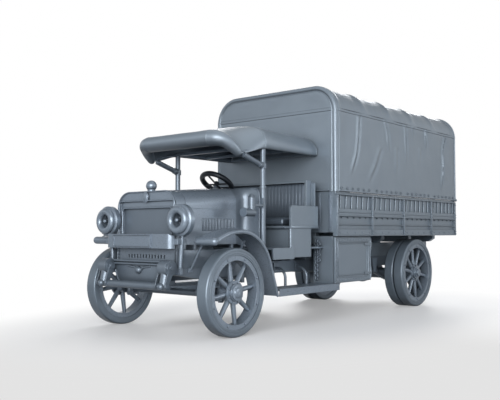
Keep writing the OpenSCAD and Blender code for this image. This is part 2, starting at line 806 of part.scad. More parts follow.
module seat_frame() {
  color(timber) {
    // hollow box under the seat
    difference() {
      block([-790, 790], [seat_y0 + 30, back_y], [cab_floor_z + seat_gap, seat_z - 28]);
      block([-768, 768], [seat_y0 + 52, back_y - 22], [cab_floor_z - 1, seat_z - 50]);
    }
    block([-cheek_x - cheek_t, cheek_x + cheek_t], [seat_y0 - 10, back_y + 76], [seat_z - 30, seat_z]);
    both_sides() block([cheek_x, cheek_x + cheek_t], [seat_side_y + seat_gap, back_y - 80], [sill_z + 15, seat_z - 29]);
    // cheeks with a rounded front corner
    both_sides() along_x(cheek_x, cheek_t) difference() {
      translate([seat_y0, seat_z - 1]) square([back_y + 76 - seat_y0, 251]);
      translate([seat_y0, seat_z + 210]) difference() {
        translate([-1, 0]) square([41, 41]);
        translate([40, 0]) circle(40);
      }
    }
    // back board and its end posts
    block([-822, 822], [back_y + 40, back_y + 62], [seat_z, back_top - 30]);
    both_sides() along_x(740, 32) polygon([
      [back_y - 88, seat_z], [back_y + 76, seat_z], [back_y + 50, back_top], [back_y - 60, back_top]
    ]);
    block([-771, 771], [back_y - 56, back_y + 50], [back_top - 30, back_top]);
  }
}

module seat_cushion() {
  color(canvas) block([-730, 730], [seat_y0 + 4, back_y - 90], [seat_z + seat_gap, seat_z + 110]);
}

module seat_back_pad() {
  color(canvas) block([-738, 738], [back_y - 84, back_y + 40 - seat_gap], [seat_z + 60, back_top - 34]);
}

module steering_column() {
  color(steel) {
    block([-rail_out - 8, -rail_in + 10], [drop_y - 75, drop_y + 75], [rail_top, column_foot[1] + 20]);
    column_bar(column_r);
    bar_x(-drop_x + seat_gap, -rail_out, drop_y, drop_z, 22);
  }
}

module steering_wheel() {
  color(rubber) translate([column_x, column_head[0], column_head[1]]) rotate([-column_tilt, 0, 0]) {
    translate([0, 0, seat_gap]) cylinder(h = 40, r = 40);
    translate([0, 0, 30]) rotate_extrude() translate([steering_r - 26, 0]) circle(26);
    for (a = [45:90:315]) rotate([0, 0, a]) translate([0, 0, 24]) rotate([0, 90, 0]) cylinder(h = steering_r - 22, r = 11);
  }
}

module control_levers() {
  color(steel) {
    block([-860, -800], [980, 1080], [cab_floor_z + seat_gap, cab_floor_z + 40]);
    bar([-845, 1010, cab_floor_z + 30], [-845, 930, 1500], 12);
    bar([-815, 1050, cab_floor_z + 30], [-815, 990, 1420], 12);
    for (p = [[-845, 930, 1500], [-815, 990, 1420]]) translate(p) sphere(26);
  }
}

// Fenders, running boards and lockers

fender_x0 = 690;
fender_x1 = 972;
fender_t = 7;
fender_lip = 32;
fender_top = [97, 1138];
fender_r0 = 840;
fender_r1 = 531;
fender_tail = [740, 391];
fender_front = -344;

fender_reach = fender_tail - [fender_top[0], fender_top[1] - fender_r1];
fender_rear_angle = atan2(fender_reach[0], fender_reach[1]) - acos(fender_r1 / norm(fender_reach));
fender_front_angle = asin((fender_top[0] - fender_front) / fender_r0);

// Points of the fender's line in y and z, inset by t: front arc, rear arc, then the tail along its tangent
function fender_line(t) = concat(
  [for (i = [0 : 12]) let (u = fender_front_angle * (i / 12 - 1))
    [fender_top[0], fender_top[1] - fender_r0] + (fender_r0 - t) * [sin(u), cos(u)]],
  [for (i = [1 : 28]) let (u = fender_rear_angle * i / 28)
    [fender_top[0], fender_top[1] - fender_r1] + (fender_r1 - t) * [sin(u), cos(u)]],
  [fender_tail - t * [sin(fender_rear_angle), cos(fender_rear_angle)]]
);

function reversed(list) = [for (i = [len(list) - 1 : -1 : 0]) list[i]];

module fenders() {
  color(steel) both_sides() {
    along_x(fender_x0, fender_x1 - fender_x0) polygon(concat(fender_line(0), reversed(fender_line(fender_t))));
    // turned-down lip
    along_x(fender_x1 - 8, 8) polygon(concat(fender_line(fender_t - 1), reversed(fender_line(fender_lip))));
    // rolled front edge with rounded ends
    translate([0, fender_front + 8, fender_z(fender_front) + 14]) rotate([0, 90, 0]) rotate_extrude() polygon(concat(
      [for (i = [0 : 6]) [44 * sin(i * 15), fender_x0 + 44 - 44 * cos(i * 15)]],
      [for (i = [6 : -1 : 0]) [44 * sin(i * 15), fender_x1 - 14 + 44 * cos(i * 15)]]
    ));
    // stays from the rail
    for (s = stay_table) {
      bar([rail_out + 13, s[0], rail_top - s[1]], [fender_x0 + s[2], s[0], fender_z(s[0])], 13);
      block([rail_out, rail_out + 14], [s[0] - 30, s[0] + 30], [rail_top - s[1] - 26, rail_top - s[1] + 26]);
    }
  }
}

// y of each fender stay, drop of its foot below the rail's top, and its reach under the fender
stay_table = [[-250, 50, 60], [420, 44, 40]];
// Middle of the fender's sheet at y
function fender_z(y) = let (r = y < fender_top[0] ? fender_r0 : fender_r1)
  fender_top[1] - r + sqrt(pow(r - fender_t / 2, 2) - pow(y - fender_top[0], 2));

tread_x0 = 700;
tread_x1 = 985;
tread_y0 = 742;
tread_y1 = 2000;
tread_t = 24;
valance_h = 85;

module running_boards() {
  color(steel) both_sides() {
    block([tread_x0, tread_x1], [tread_y0, tread_y1], [board_z - tread_t, board_z - seat_gap]);
    block([tread_x1 - 12, tread_x1], [tread_y0, tread_y1], [board_z - valance_h, board_z - tread_t + 1]);
  }
}

module step_brackets() {
  bend = 120;
  z1 = board_z - tread_t - seat_gap;
  color(iron) both_sides() for (y = [1250, 1700]) translate([0, y, 0]) {
    // round iron: out of the rail, round a quarter bend and under the board
    block([rail_out, rail_out + 14], [-40, 40], [rail_z + 20, rail_top - 20]);
    bar_x(rail_out + 5, rail_out + 40, 0, rail_z + 60, 17);
    translate([rail_out + 40, 0, rail_z + 60 - bend]) rotate([90, 0, 0]) rotate_extrude(angle = 90) translate([bend, 0]) circle(17);
    bar([rail_out + 40 + bend, 0, rail_z + 60 - bend], [rail_out + 40 + bend, 0, z1 - 17], 17);
    block([rail_out + 40 + bend - 20, tread_x1 - 40], [-20, 20], [z1 - 17, z1]);
  }
}

door_gap = 8;
door_z = [locker_z0 + 6, bed_z - 10];
door_pin_y = locker_y1 - 6;
knuckle_h = 80;
// Foot of each door hinge's knuckle
door_knuckles = [door_z[0] + 60, door_z[1] - 60 - knuckle_h];

module locker_box() {
  difference() {
    block([locker_x0, locker_x1 - door_t - door_gap], [locker_y0, locker_y1], [locker_z0, bed_z]);
    block([locker_x0 + locker_t, locker_x1], [locker_y0 + locker_t, locker_y1 - locker_t], [locker_z0 + locker_t, bed_z - locker_t]);
  }
  // hinge lugs above and below each of the door's knuckles
  for (k = door_knuckles, h = [-40, knuckle_h + seat_gap]) {
    block([locker_x1 - door_t - door_gap - 1, locker_x1], [door_pin_y - 5, locker_y1], [k + h, k + h + 40 - seat_gap]);
    translate([locker_x1, door_pin_y, k + h]) cylinder(h = 40 - seat_gap, r = 5);
  }
  // stop that the closed door meets
  block([locker_x1 - door_t - door_gap - 1, locker_x1 - door_t - seat_gap], [locker_y0 + 20, locker_y0 + 40], [locker_z0 + 40, locker_z0 + 80]);
  block([locker_x1 - door_t - door_gap - 1, locker_x1 - door_t - seat_gap], [locker_y0 + 20, locker_y0 + 40], [bed_z - 80, bed_z - 40]);
}

module lockers() {
  color(timber) both_sides() locker_box();
}

module locker_door() {
  y = [locker_y0 + 4, locker_y1 - 12];
  z = door_z;
  difference() {
    block([locker_x1 - door_t, locker_x1], y, z);
    // sunk panel inside a stepped frame
    block([locker_x1 - 8, locker_x1 + 1], [y[0] + 90, y[1] - 90], [z[0] + 80, z[1] - 80]);
    block([locker_x1 - 4, locker_x1 + 1], [y[0] + 70, y[1] - 70], [z[0] + 60, z[1] - 60]);
  }
  for (k = door_knuckles) {
    translate([locker_x1, door_pin_y, k]) cylinder(h = knuckle_h, r = 9);
    block([locker_x1 - 1, locker_x1 + 7], [locker_y1 - 170, door_pin_y], [k + 24, k + 56]);
  }
  // hasp
  block([locker_x1 - 1, locker_x1 + 10], [y[0] + 10, y[0] + 60], [(z[0] + z[1]) / 2 - 20, (z[0] + z[1]) / 2 + 20]);
}

module locker_door_left() {
  color(timber) locker_door();
}

module locker_door_right() {
  color(timber) mirror([1, 0, 0]) locker_door();
}

// Cargo bed

module bed_bolsters() {
  color(timber) both_sides() block([rail_in, rail_out], [bed_front + 30, bed_rear - 60], [rail_top, bearer_z]);
}

bearer_w = 90;

module bed_bearers() {
  color(timber) for (i = [0:4]) {
    y = bed_front + 60 + i * (bed_len - 60 - bearer_w - 30) / 4;
    along_y(y, bearer_w) polygon([
      [-bearer_x, bearer_z + bearer_h], [-bearer_x, bearer_z + 50], [-bearer_x + 80, bearer_z],
      [bearer_x - 80, bearer_z], [bearer_x, bearer_z + 50], [bearer_x, bearer_z + bearer_h]
    ]);
  }
}

tail_hinges = [-700, 0, 700];
tail_knuckle = 45;

module bed_floor() {
  color(timber) {
    difference() {
      block([-board_x + board_t, board_x - board_t], [bed_front + board_t, bed_rear - 4], [floor_top - floor_t, floor_top]);
      for (x = [-800:200:800]) block([x - 3, x + 3], [bed_front, bed_rear], [floor_top - 6, floor_top + 1]);
    }
    // hinge lugs beside each of the tailgate's knuckles
    for (x = tail_hinges, s = [-1, 1]) {
      x0 = x + s * (tail_knuckle + seat_gap + 15) - 15;
      bar_x(x0, x0 + 30, tail_y, tail_hinge_z, hinge_r);
      block([x0, x0 + 30], [bed_rear - 6, tail_y], [tail_hinge_z - hinge_r + 2, tail_hinge_z + hinge_r - 2]);
    }
  }
}

module bed_side() {
  // sill, lower board, proud middle rail, upper board and cap
  block([board_x - board_t, bed_x], [bed_front, bed_rear - 8], [bed_z, floor_top]);
  block([board_x - board_t, board_x], [bed_front, bed_rear - 8], [floor_top - 1, bed_top]);
  block([board_x - 1, bed_x], [bed_front, bed_rear - 8], [mid_rail_z, mid_rail_z + mid_rail_h]);
  block([board_x - board_t, bed_x - tilt_t - seat_gap], [bed_front, bed_rear - 8], [bed_top - 36, bed_top]);
  for (i = [0:bay_count]) {
    y = bed_front + i * bay - (i == 0 ? 0 : i == bay_count ? stake_w + 8 : stake_w / 2);
    block([board_x - 1, bed_x], [y, y + stake_w], [bed_z, bed_top - 40]);
  }
  // rope hooks under the middle rail
  for (i = [0:bay_count - 1], k = [1:5]) {
    y = bed_front + i * bay + k * bay / 6;
    bar_x(board_x - 1, bed_x - 4, y, mid_rail_z - 26, 9);
  }
}

module bed_sides() {
  color(timber) both_sides() bed_side();
}

module bed_headboard() {
  color(timber) {
    x1 = board_x - board_t - seat_gap;
    block([-x1, x1], [bed_front, bed_front + board_t - seat_gap], [bed_z + 47, bed_top]);
    for (x = [-600, 0, 600]) block([x - 40, x + 40], [bed_front - 1 + 1, bed_front + board_t + 20], [floor_top + seat_gap, bed_top]);
  }
}

module tailgate() {
  x1 = board_x - 14;
  color(timber) {
    difference() {
      block([-x1, x1], [tail_y - tail_t / 2, tail_y + tail_t / 2], [tail_hinge_z + 24, mid_rail_z + mid_rail_h + 190]);
      for (z = [tail_hinge_z + 190, tail_hinge_z + 370]) block([-x1 - 1, x1 + 1], [tail_y + tail_t / 2 - 5, tail_y + tail_t], [z, z + 6]);
    }
    for (x = tail_hinges) {
      bar_x(x - tail_knuckle, x + tail_knuckle, tail_y, tail_hinge_z, hinge_r);
      block([x - 34, x + 34], [tail_y - 8, tail_y + 8], [tail_hinge_z, tail_hinge_z + 30]);
      block([x - 34, x + 34], [tail_y + tail_t / 2 - 1, tail_y + tail_t / 2 + strap_t], [tail_hinge_z + 24, mid_rail_z + mid_rail_h + 120]);
    }
  }
}

// Tilt

hoop_w = 38;
hoop_t = 26;

module hoop_outline() {
  o = tilt_t + seat_gap;
  difference() {
    arched(bed_x - o, bed_top, tilt_top - o, tilt_r - o);
    arched(bed_x - o - hoop_t, bed_top - 1, tilt_top - o - hoop_t, tilt_r - o - hoop_t);
  }
}

module tilt_hoops() {
  color(timber) for (i = [0:hoop_count - 1]) {
    y = bed_front + tilt_t + seat_gap + i * (bed_len - 2 * tilt_t - hoop_w - 40) / (hoop_count - 1);
    along_y(y, hoop_w) hoop_outline();
  }
}

module tilt_cover() {
  color(canvas) difference() {
    along_y(bed_front, bed_len - 10) arched(bed_x, bed_top + seat_gap, tilt_top, tilt_r);
    along_y(bed_front + tilt_t, bed_len) arched(bed_x - tilt_t, bed_top - 1, tilt_top - tilt_t, tilt_r - tilt_t);
  }
}

strand_r = 8;

module tilt_lacing() {
  color(canvas) both_sides() for (i = [0:bay_count - 1], k = [0:5]) {
    y = bed_front + i * bay + stake_w + 40 + k * (bay - 1.5 * stake_w - 80) / 5.4;
    bar([board_x + strand_r + seat_gap, y + 16, mid_rail_z + mid_rail_h + 2], [board_x + strand_r + seat_gap, y + 30, bed_top - 38], strand_r);
  }
}

// Steering and wheels

module knuckle_body() {
  difference() {
    union() {
      translate([kingpin_x, 0, barrel_z0 + 0.5]) cylinder(h = barrel_z1 - barrel_z0 - 1, r = barrel_r);
      translate([kingpin_x, 0, barrel_z0 - lug_t - 12]) cylinder(h = barrel_z1 - barrel_z0 + 2 * lug_t + 24, r = kingpin_r);
      bar_x(kingpin_x, front_in_x - 24, 0, front_r, 40);
      bar_x(kingpin_x, front_face_x - 18, 0, front_r, spindle_front_r);
      block([kingpin_x - 17, kingpin_x + 17], [0, arm_y], [track_arm_z, track_arm_z + arm_t]);
      translate([kingpin_x, arm_y, track_arm_z]) cylinder(h = arm_t, r = 26);
      translate([kingpin_x, arm_y, track_arm_z - 34]) cylinder(h = 40, r = 12);
    }
  }
  translate([kingpin_x, 0, barrel_z1 + lug_t + seat_gap]) cylinder(h = 14, r = 30);
  translate([kingpin_x, 0, barrel_z0 - lug_t - 14]) cylinder(h = 14 - seat_gap, r = 30);
}

module knuckle_left() {
  color(iron) knuckle_body();
}

module knuckle_right() {
  color(iron) {
    mirror([1, 0, 0]) knuckle_body();
    translate([-kingpin_x, 0, barrel_z1 + lug_t + 5]) cylinder(h = drag_arm_z + drag_arm_t - barrel_z1 - lug_t - 5, r = kingpin_r);
    block([-kingpin_x, -drag_x], [-16, 16], [drag_arm_z, drag_arm_z + drag_arm_t]);
    for (x = [kingpin_x, drag_x]) translate([-x, 0, drag_arm_z]) cylinder(h = drag_arm_t, r = 25);
  }
}

module track_rod() {
  z = track_arm_z - 26;
  color(steel) difference() {
    union() {
      bar_x(-kingpin_x + 20, kingpin_x - 20, arm_y, z + 12, 13);
      for (s = [-1, 1]) translate([s * kingpin_x, arm_y, z]) cylinder(h = 26 - seat_gap, r = 27);
    }
    for (s = [-1, 1]) translate([s * kingpin_x, arm_y, z - 1]) cylinder(h = 30, r = 12 + run_gap);
  }
}

module drop_arm() {
  color(steel) {
    bar_x(-drop_x - drop_t, -drop_x, drop_y, drop_z, 34);
    bar_x(-drop_x - drop_t, -drop_x, drop_y, drag_z, 22);
    along_x(-drop_x - drop_t, drop_t) polygon([
      [drop_y - 30, drop_z], [drop_y + 30, drop_z], [drop_y + 18, drag_z], [drop_y - 18, drag_z]
    ]);
    bar_x(-drop_x - 1, -drag_x + drag_r, drop_y, drag_z, ball_r);
  }
}

module drag_link() {
  color(steel) difference() {
    union() {
      bar_y(0, drop_y, -drag_x, drag_z, drag_r);
      bar_x(-drag_x - drag_r, -drag_x + drag_r, drop_y, drag_z, ball_r + 11);
      translate([-drag_x, 0, drag_arm_z + drag_arm_t + seat_gap]) cylinder(h = drag_z - drag_arm_z - drag_arm_t + 10, r = drag_r + 6);
    }
    bar_x(-drag_x - drag_r - 1, -drag_x + drag_r + 1, drop_y, drag_z, ball_r + run_gap);
  }
}

// A wheel's tyre ring: outer radius r, from x0 outwards by w
module tyre_ring(r, x0, w, y) {
  s = 20;
  translate([x0, y, r]) rotate([0, 90, 0]) rotate_extrude($fn = 128) {
    translate([r - tyre_depth + seat_gap, 0]) square([tyre_depth - s - seat_gap, w]);
    translate([r - tyre_depth + seat_gap, s]) square([tyre_depth - seat_gap, w - 2 * s]);
    for (k = [s, w - s]) translate([r - s, k]) circle(s);
  }
}

// Felloe and spokes of one wheel, centred on x
module wheel_disc(r, x, w, spokes, hub_r) {
  felloe_r = r - tyre_depth;
  translate([x, 0, r]) rotate([0, 90, 0]) rotate_extrude($fn = 128)
    translate([felloe_r - felloe_depth, -w / 2]) square([felloe_depth, w]);
  for (k = [0:spokes - 1]) translate([x, 0, r]) rotate([k * 360 / spokes + 8, 0, 0])
    translate([0, 0, hub_r - 12]) cylinder(h = felloe_r - felloe_depth - hub_r + 24, r1 = 31, r2 = 23);
}

front_bore = spindle_front_r + run_gap;
rear_bore = spindle_rear_r + run_gap;
front_hub_r = 92;
rear_hub_r = 98;

// Hub turned about the axle, profile as radius and distance from the tyre's outer face
module front_hub() {
  translate([front_face_x, 0, front_r]) rotate([0, 90, 0]) rotate_extrude() polygon([
    [front_bore, -front_tyre_w - 22], [front_hub_r, -front_tyre_w - 22], [front_hub_r, -48], [hub_flange_r, -48],
    [hub_flange_r, -24], [front_hub_r, -24], [front_hub_r, -8], [hub_cap_r, -6], [hub_cap_r, 12], [58, 14],
    [54, 22], [44, 28], [28, 31], [0, 32], [0, -8], [front_bore, -8]
  ]);
}

module front_wheel() {
  wheel_disc(front_r, front_mid_x, front_tyre_w - 16, front_spokes, front_hub_r);
  front_hub();
}

module rear_hub() {
  translate([rear_face_x, 0, rear_r]) rotate([0, 90, 0]) rotate_extrude() polygon([
    [rear_bore, -twin_w - 54], [190, -twin_w - 54], [190, -twin_w - 62], [212, -twin_w - 62], [212, -twin_w - 3],
    [rear_hub_r, -twin_w - 3], [rear_hub_r, -58], [hub_flange_r, -58], [hub_flange_r, -34], [rear_hub_r, -34],
    [rear_hub_r, -10], [76, -8], [76, 6], [54, 8], [54, 26], [46, 30], [0, 30], [0, -10], [rear_bore, -10]
  ]);
}

module rear_wheel() {
  for (x = [rear_face_x - rear_tyre_w / 2, rear_in_x + rear_tyre_w / 2])
    wheel_disc(rear_r, x, rear_tyre_w - 14, rear_spokes, rear_hub_r);
  rear_hub();
}

module wheel_front_left() { color(steel) front_wheel(); }
module wheel_front_right() { color(steel) mirror([1, 0, 0]) front_wheel(); }
module tyre_front_left() { color(rubber) tyre_ring(front_r, front_in_x, front_tyre_w, 0); }
module tyre_front_right() { color(rubber) mirror([1, 0, 0]) tyre_ring(front_r, front_in_x, front_tyre_w, 0); }
module wheel_rear_left() { color(steel) translate([0, wheelbase, 0]) rear_wheel(); }
module wheel_rear_right() { color(steel) mirror([1, 0, 0]) translate([0, wheelbase, 0]) rear_wheel(); }

module twin_tyres() {
  for (x = [rear_in_x, rear_face_x - rear_tyre_w]) tyre_ring(rear_r, x, rear_tyre_w, wheelbase);
}

module tyre_rear_left() { color(rubber) twin_tyres(); }
module tyre_rear_right() { color(rubber) mirror([1, 0, 0]) twin_tyres(); }

// Everything is moved from the front axle to the middle of the length
module placed() {
  translate([0, y_shift, 0]) children();
}

placed() chassis_rails();
placed() cross_members();
placed() front_springs();
placed() rear_springs();
placed() front_axle();
placed() rear_axle();
placed() engine();
placed() gearbox();
placed() propeller_shaft();
placed() radiator_shell();
placed() radiator_core();
placed() headlamps();
placed() front_board();
placed() bonnet_left();
placed() bonnet_right();
placed() bonnet_sides();
placed() bonnet_rod();
placed() scuttle();
placed() side_lamps();
placed() cab_floor();
placed() canopy_posts();
placed() canopy_bows();
placed() canopy();
placed() seat_frame();
placed() seat_cushion();
placed() seat_back_pad();
placed() steering_column();
placed() steering_wheel();
placed() control_levers();
placed() fenders();
placed() running_boards();
placed() step_brackets();
placed() lockers();
placed() locker_door_left();
placed() locker_door_right();
placed() bed_bolsters();
placed() bed_bearers();
placed() bed_floor();
placed() bed_sides();
placed() bed_headboard();
placed() tailgate();
placed() tilt_hoops();
placed() tilt_cover();
placed() tilt_lacing();
placed() knuckle_left();
placed() knuckle_right();
placed() track_rod();
placed() drop_arm();
placed() drag_link();
placed() wheel_front_left();
placed() tyre_front_left();
placed() wheel_front_right();
placed() tyre_front_right();
placed() wheel_rear_left();
placed() tyre_rear_left();
placed() wheel_rear_right();
placed() tyre_rear_right();
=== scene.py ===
import json
import math

import bpy
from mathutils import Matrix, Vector, noise
from mathutils.bvhtree import BVHTree


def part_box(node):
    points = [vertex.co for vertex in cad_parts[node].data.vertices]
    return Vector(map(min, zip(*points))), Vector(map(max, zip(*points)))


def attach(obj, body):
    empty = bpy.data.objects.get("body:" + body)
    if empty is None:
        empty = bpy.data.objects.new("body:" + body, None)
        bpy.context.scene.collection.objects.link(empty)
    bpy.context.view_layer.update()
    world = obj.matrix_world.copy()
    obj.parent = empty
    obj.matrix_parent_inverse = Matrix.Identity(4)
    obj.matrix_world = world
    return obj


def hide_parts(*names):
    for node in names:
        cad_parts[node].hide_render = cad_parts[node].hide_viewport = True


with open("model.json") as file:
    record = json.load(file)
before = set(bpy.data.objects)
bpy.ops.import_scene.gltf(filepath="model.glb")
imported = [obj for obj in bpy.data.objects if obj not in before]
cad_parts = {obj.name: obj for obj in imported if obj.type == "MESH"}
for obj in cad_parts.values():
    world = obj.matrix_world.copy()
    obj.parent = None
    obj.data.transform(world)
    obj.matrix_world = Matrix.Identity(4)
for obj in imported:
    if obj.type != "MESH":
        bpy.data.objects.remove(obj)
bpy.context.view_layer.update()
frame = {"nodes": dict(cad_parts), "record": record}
nodes = frame["nodes"]
scene = bpy.context.scene

# Places are written in millimetres, with y from the front axle, as in the part's source
axle_y = sum(corner[1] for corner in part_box("tyre_front_left")) / 2


def mm(x, y, z):
    """A place in the frame, in metres."""
    return Vector((x / 1000, axle_y + y / 1000, z / 1000))


def span(name):
    """A CAD node's box in millimetres: (x0, x1), (y0, y1), (z0, z1)."""
    low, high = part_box(name)
    return tuple((1000 * (low[i] - s), 1000 * (high[i] - s)) for i, s in enumerate((0, axle_y, 0)))


def pick(*objects):
    """Selects these objects and nothing else."""
    bpy.ops.object.select_all(action="DESELECT")
    for o in objects:
        o.select_set(True)
    bpy.context.view_layer.objects.active = objects[0]


def shaped(o, kind, **settings):
    """Adds a modifier with its settings and applies it."""
    pick(o)
    m = o.modifiers.new(kind.lower(), kind)
    for key, value in settings.items():
        setattr(m, key, value)
    bpy.ops.object.modifier_apply(modifier=m.name)
    return o


def finished(o, finish, body="chassis", smooth=40):
    """Puts a piece's place into its mesh, smooths its rounds, and gives it its finish and its body."""
    pick(o)
    bpy.ops.object.transform_apply(location=True, rotation=True, scale=True)
    bpy.ops.object.shade_smooth_by_angle(angle=math.radians(smooth))
    o.data.materials.clear()
    o.data.materials.append(finish)
    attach(o, body)
    return o


def joined(name, pieces):
    """Joins pieces into one object."""
    pick(*pieces)
    bpy.ops.object.join()
    o = bpy.context.object
    o.name = name
    return o


def mesh_piece(name, points, faces):
    mesh = bpy.data.meshes.new(name)
    mesh.from_pydata(points, [], faces)
    mesh.update()
    o = bpy.data.objects.new(name, mesh)
    scene.collection.objects.link(o)
    return o


def surface(name, rows, ring=False):
    """A sheet through rows of points; ring joins each row's end to its start."""
    n = len(rows[0])
    faces = []
    for i in range(len(rows) - 1):
        for j in range(n if ring else n - 1):
            k = (j + 1) % n
            faces.append((i * n + j, i * n + k, (i + 1) * n + k, (i + 1) * n + j))
    return mesh_piece(name, [p for row in rows for p in row], faces)


def rod(name, points, radius, ring=False, sides=3):
    """A round bar, bead or rope along a line of points, as a mesh."""
    curve = bpy.data.curves.new(name, "CURVE")
    curve.dimensions = "3D"
    curve.bevel_depth = radius / 1000
    curve.bevel_resolution = sides
    curve.use_fill_caps = True
    line = curve.splines.new("POLY")
    line.points.add(len(points) - 1)
    for point, place in zip(line.points, points):
        point.co = (*place, 1)
    line.use_cyclic_u = ring
    o = bpy.data.objects.new(name, curve)
    scene.collection.objects.link(o)
    pick(o)
    bpy.ops.object.convert(target="MESH")
    return bpy.context.object


def steps(a, b, n):
    """n even steps from a, up to but not including b."""
    return [a + (b - a) * i / n for i in range(n)]


def ease(t):
    t = min(max(t, 0), 1)
    return t * t * (3 - 2 * t)


def bell(t):
    return math.exp(-t * t)


def linear(hex_colour):
    """An sRGB hex colour as linear RGBA."""
    parts = [int(hex_colour[i:i + 2], 16) / 255 for i in (1, 3, 5)]
    return tuple(c / 12.92 if c <= 0.04045 else ((c + 0.055) / 1.055) ** 2.4 for c in parts) + (1.0,)


def node(tree, kind, settings=None, **links):
    """Adds one shader node. Settings go on the node; links, a value or an output, go on its sockets."""
    n = tree.nodes.new(kind)
    for key, value in (settings or {}).items():
        setattr(n, key, value)
    for key, value in links.items():
        by_number = key[0] == "i" and key[1:].isdigit()
        socket = n.inputs[int(key[1:]) if by_number else key.replace("_", " ")]
        if isinstance(value, bpy.types.NodeSocket):
            tree.links.new(value, socket)
        else:
            socket.default_value = value
    return n


cloud_mm = 400


def satin(name, colour, rough, grain_mm, bump, worn, metal=0.4, under=0.8):
    """A satin blue-grey surface: fine grain in the gloss, clouded colour, and painted shade that darkens its
    nooks and the faces that turn downwards.
    """
    m = bpy.data.materials.new(name)
    m.use_nodes = True
    t = m.node_tree
    t.nodes.clear()
    place = node(t, "ShaderNodeTexCoord").outputs["Object"]
    cloud = node(t, "ShaderNodeTexNoise", Vector=place, Scale=1000 / cloud_mm, Detail=4.0, Roughness=0.6)
    grain = node(t, "ShaderNodeTexNoise", Vector=place, Scale=1000 / grain_mm, Detail=3.0, Roughness=0.55)
    tint = node(t, "ShaderNodeMix", {"data_type": "RGBA"}, i0=cloud.outputs["Fac"], i6=linear(colour),
                i7=linear(worn))
    # Painted shade: the colour is darkened in nooks, from ambient occlusion, and on faces turned downwards,
    # down to the share given by under
    nook = node(t, "ShaderNodeAmbientOcclusion", {"samples": 6}, Distance=0.2)
    shade = node(t, "ShaderNodeMapRange", Value=nook.outputs["AO"], From_Min=0.2, From_Max=0.8,
                 To_Min=0.5, To_Max=1.0)
    facing = node(t, "ShaderNodeSeparateXYZ", Vector=node(t, "ShaderNodeNewGeometry").outputs["Normal"])
    low = node(t, "ShaderNodeMapRange", Value=facing.outputs["Z"], From_Min=-0.6, From_Max=0.1,
               To_Min=under, To_Max=1.0)
    painted_shade = node(t, "ShaderNodeMath", {"operation": "MULTIPLY"}, i0=shade.outputs["Result"],
                i1=low.outputs["Result"])
    shaded_colour = node(t, "ShaderNodeMix", {"data_type": "RGBA", "blend_type": "MULTIPLY"}, i0=1.0,
                   i6=tint.outputs[2], i7=painted_shade.outputs["Value"])
    gloss = node(t, "ShaderNodeMapRange", Value=grain.outputs["Fac"], From_Min=0.3, From_Max=0.7,
                 To_Min=rough - 0.05, To_Max=rough + 0.06)
    soft = node(t, "ShaderNodeBevel", {"samples": 4}, Radius=0.006)
    relief = node(t, "ShaderNodeBump", Strength=bump, Distance=0.002, Height=grain.outputs["Fac"],
                  Normal=soft.outputs["Normal"])
    skin = node(t, "ShaderNodeBsdfPrincipled", Base_Color=shaded_colour.outputs[2], IOR=1.5, Metallic=metal,
                Roughness=gloss.outputs["Result"], Normal=relief.outputs["Normal"])
    out = node(t, "ShaderNodeOutputMaterial")
    t.links.new(skin.outputs["BSDF"], out.inputs["Surface"])
    return m


# The grain sizes below, in millimetres, are coarser than life, so that they show in the picture
# Sprayed steel: smooth, with an even satin sheen
painted_steel = satin("painted_steel", "#727e8b", 0.30, 9, 0.06, "#7b8794")
# Painted castings and forgings: rougher from the sand mould, and a little darker as painted shade, matched to
# their shaded look
painted_iron = satin("painted_iron", "#5f6a76", 0.36, 14, 0.20, "#69747f")
# Painted planks: the same paint over timber, with a trace of grain
painted_timber = satin("painted_timber", "#717d89", 0.36, 12, 0.18, "#7b8792")
# Proofed canvas under paint: dull, close woven; its downward faces take a deep painted shade
painted_canvas = satin("painted_canvas", "#7c8894", 0.41, 5, 0.12, "#86929d", under=0.4)
# Solid rubber under the same paint, a little darker: partly painted shade, matched to the wheels' shaded look
painted_rubber = satin("painted_rubber", "#636f7b", 0.38, 11, 0.12, "#6d7984")
# Upholstery hide under the same paint, set darker as painted shade for the seat's place in the canopy's
# shadow
painted_hide = satin("painted_hide", "#56616d", 0.38, 6, 0.2, "#606b77")
# Steering wheel's rim in near black; its darkness is partly painted shade for its dim upward face
rim_dark_and_shade = satin("rim_dark_and_shade", "#1d2228", 0.42, 6, 0.1, "#262c33")

finish_of = {
    "painted_steel": painted_steel, "painted_iron": painted_iron, "painted_timber": painted_timber,
    "canvas": painted_canvas, "tyre": painted_rubber, "seat_leather": painted_hide,
}
for part in frame["record"]["subparts"]:
    piece = nodes[part["node"]]
    piece.data.materials.clear()
    piece.data.materials.append(finish_of[part["material_slot"]])
# The side lamps take the darker iron paint: painted shade for the canopy's shadow on them
nodes["side_lamps"].data.materials[0] = painted_iron

# Tilt canvas
(_, tilt_half), (tilt_y0, tilt_y1), (hem_z, tilt_top) = span("tilt_cover")
tilt_r = 350
tilt_side = tilt_top - tilt_r - hem_z
tilt_arc = tilt_r * math.pi / 2
tilt_girth = tilt_side + tilt_arc + tilt_half - tilt_r
hoop_w = 38
hoops = [tilt_y0 + 12 + hoop_w / 2 + i * (tilt_y1 + 10 - tilt_y0 - 24 - hoop_w - 40) / 5 for i in range(6)]
seam_s = tilt_side + 14

# Creases in the tilt's side: height, half width, and the line of the crease as (y, z)
creases = [
    (11, 26, ((2453, 2661), (2429, 2396), (2376, 2158), (2292, 1978))),
    (10, 24, ((3148, 2703), (3224, 2541), (3262, 2358))),
    (6, 40, ((3017, 2274), (2892, 2051), (2771, 1893))),
    (9, 24, ((3770, 2682), (3783, 2505), (3795, 2247))),
    (5, 36, ((3494, 2317), (3488, 2032))),
    (13, 24, ((4436, 2707), (4456, 2472))),
    (8, 20, ((4014, 2693), (4030, 2596))),
    (5, 34, ((4260, 2386), (4238, 2217))),
    (14, 24, ((5147, 2644), (5038, 2439), (5051, 2210), (5001, 1890))),
]


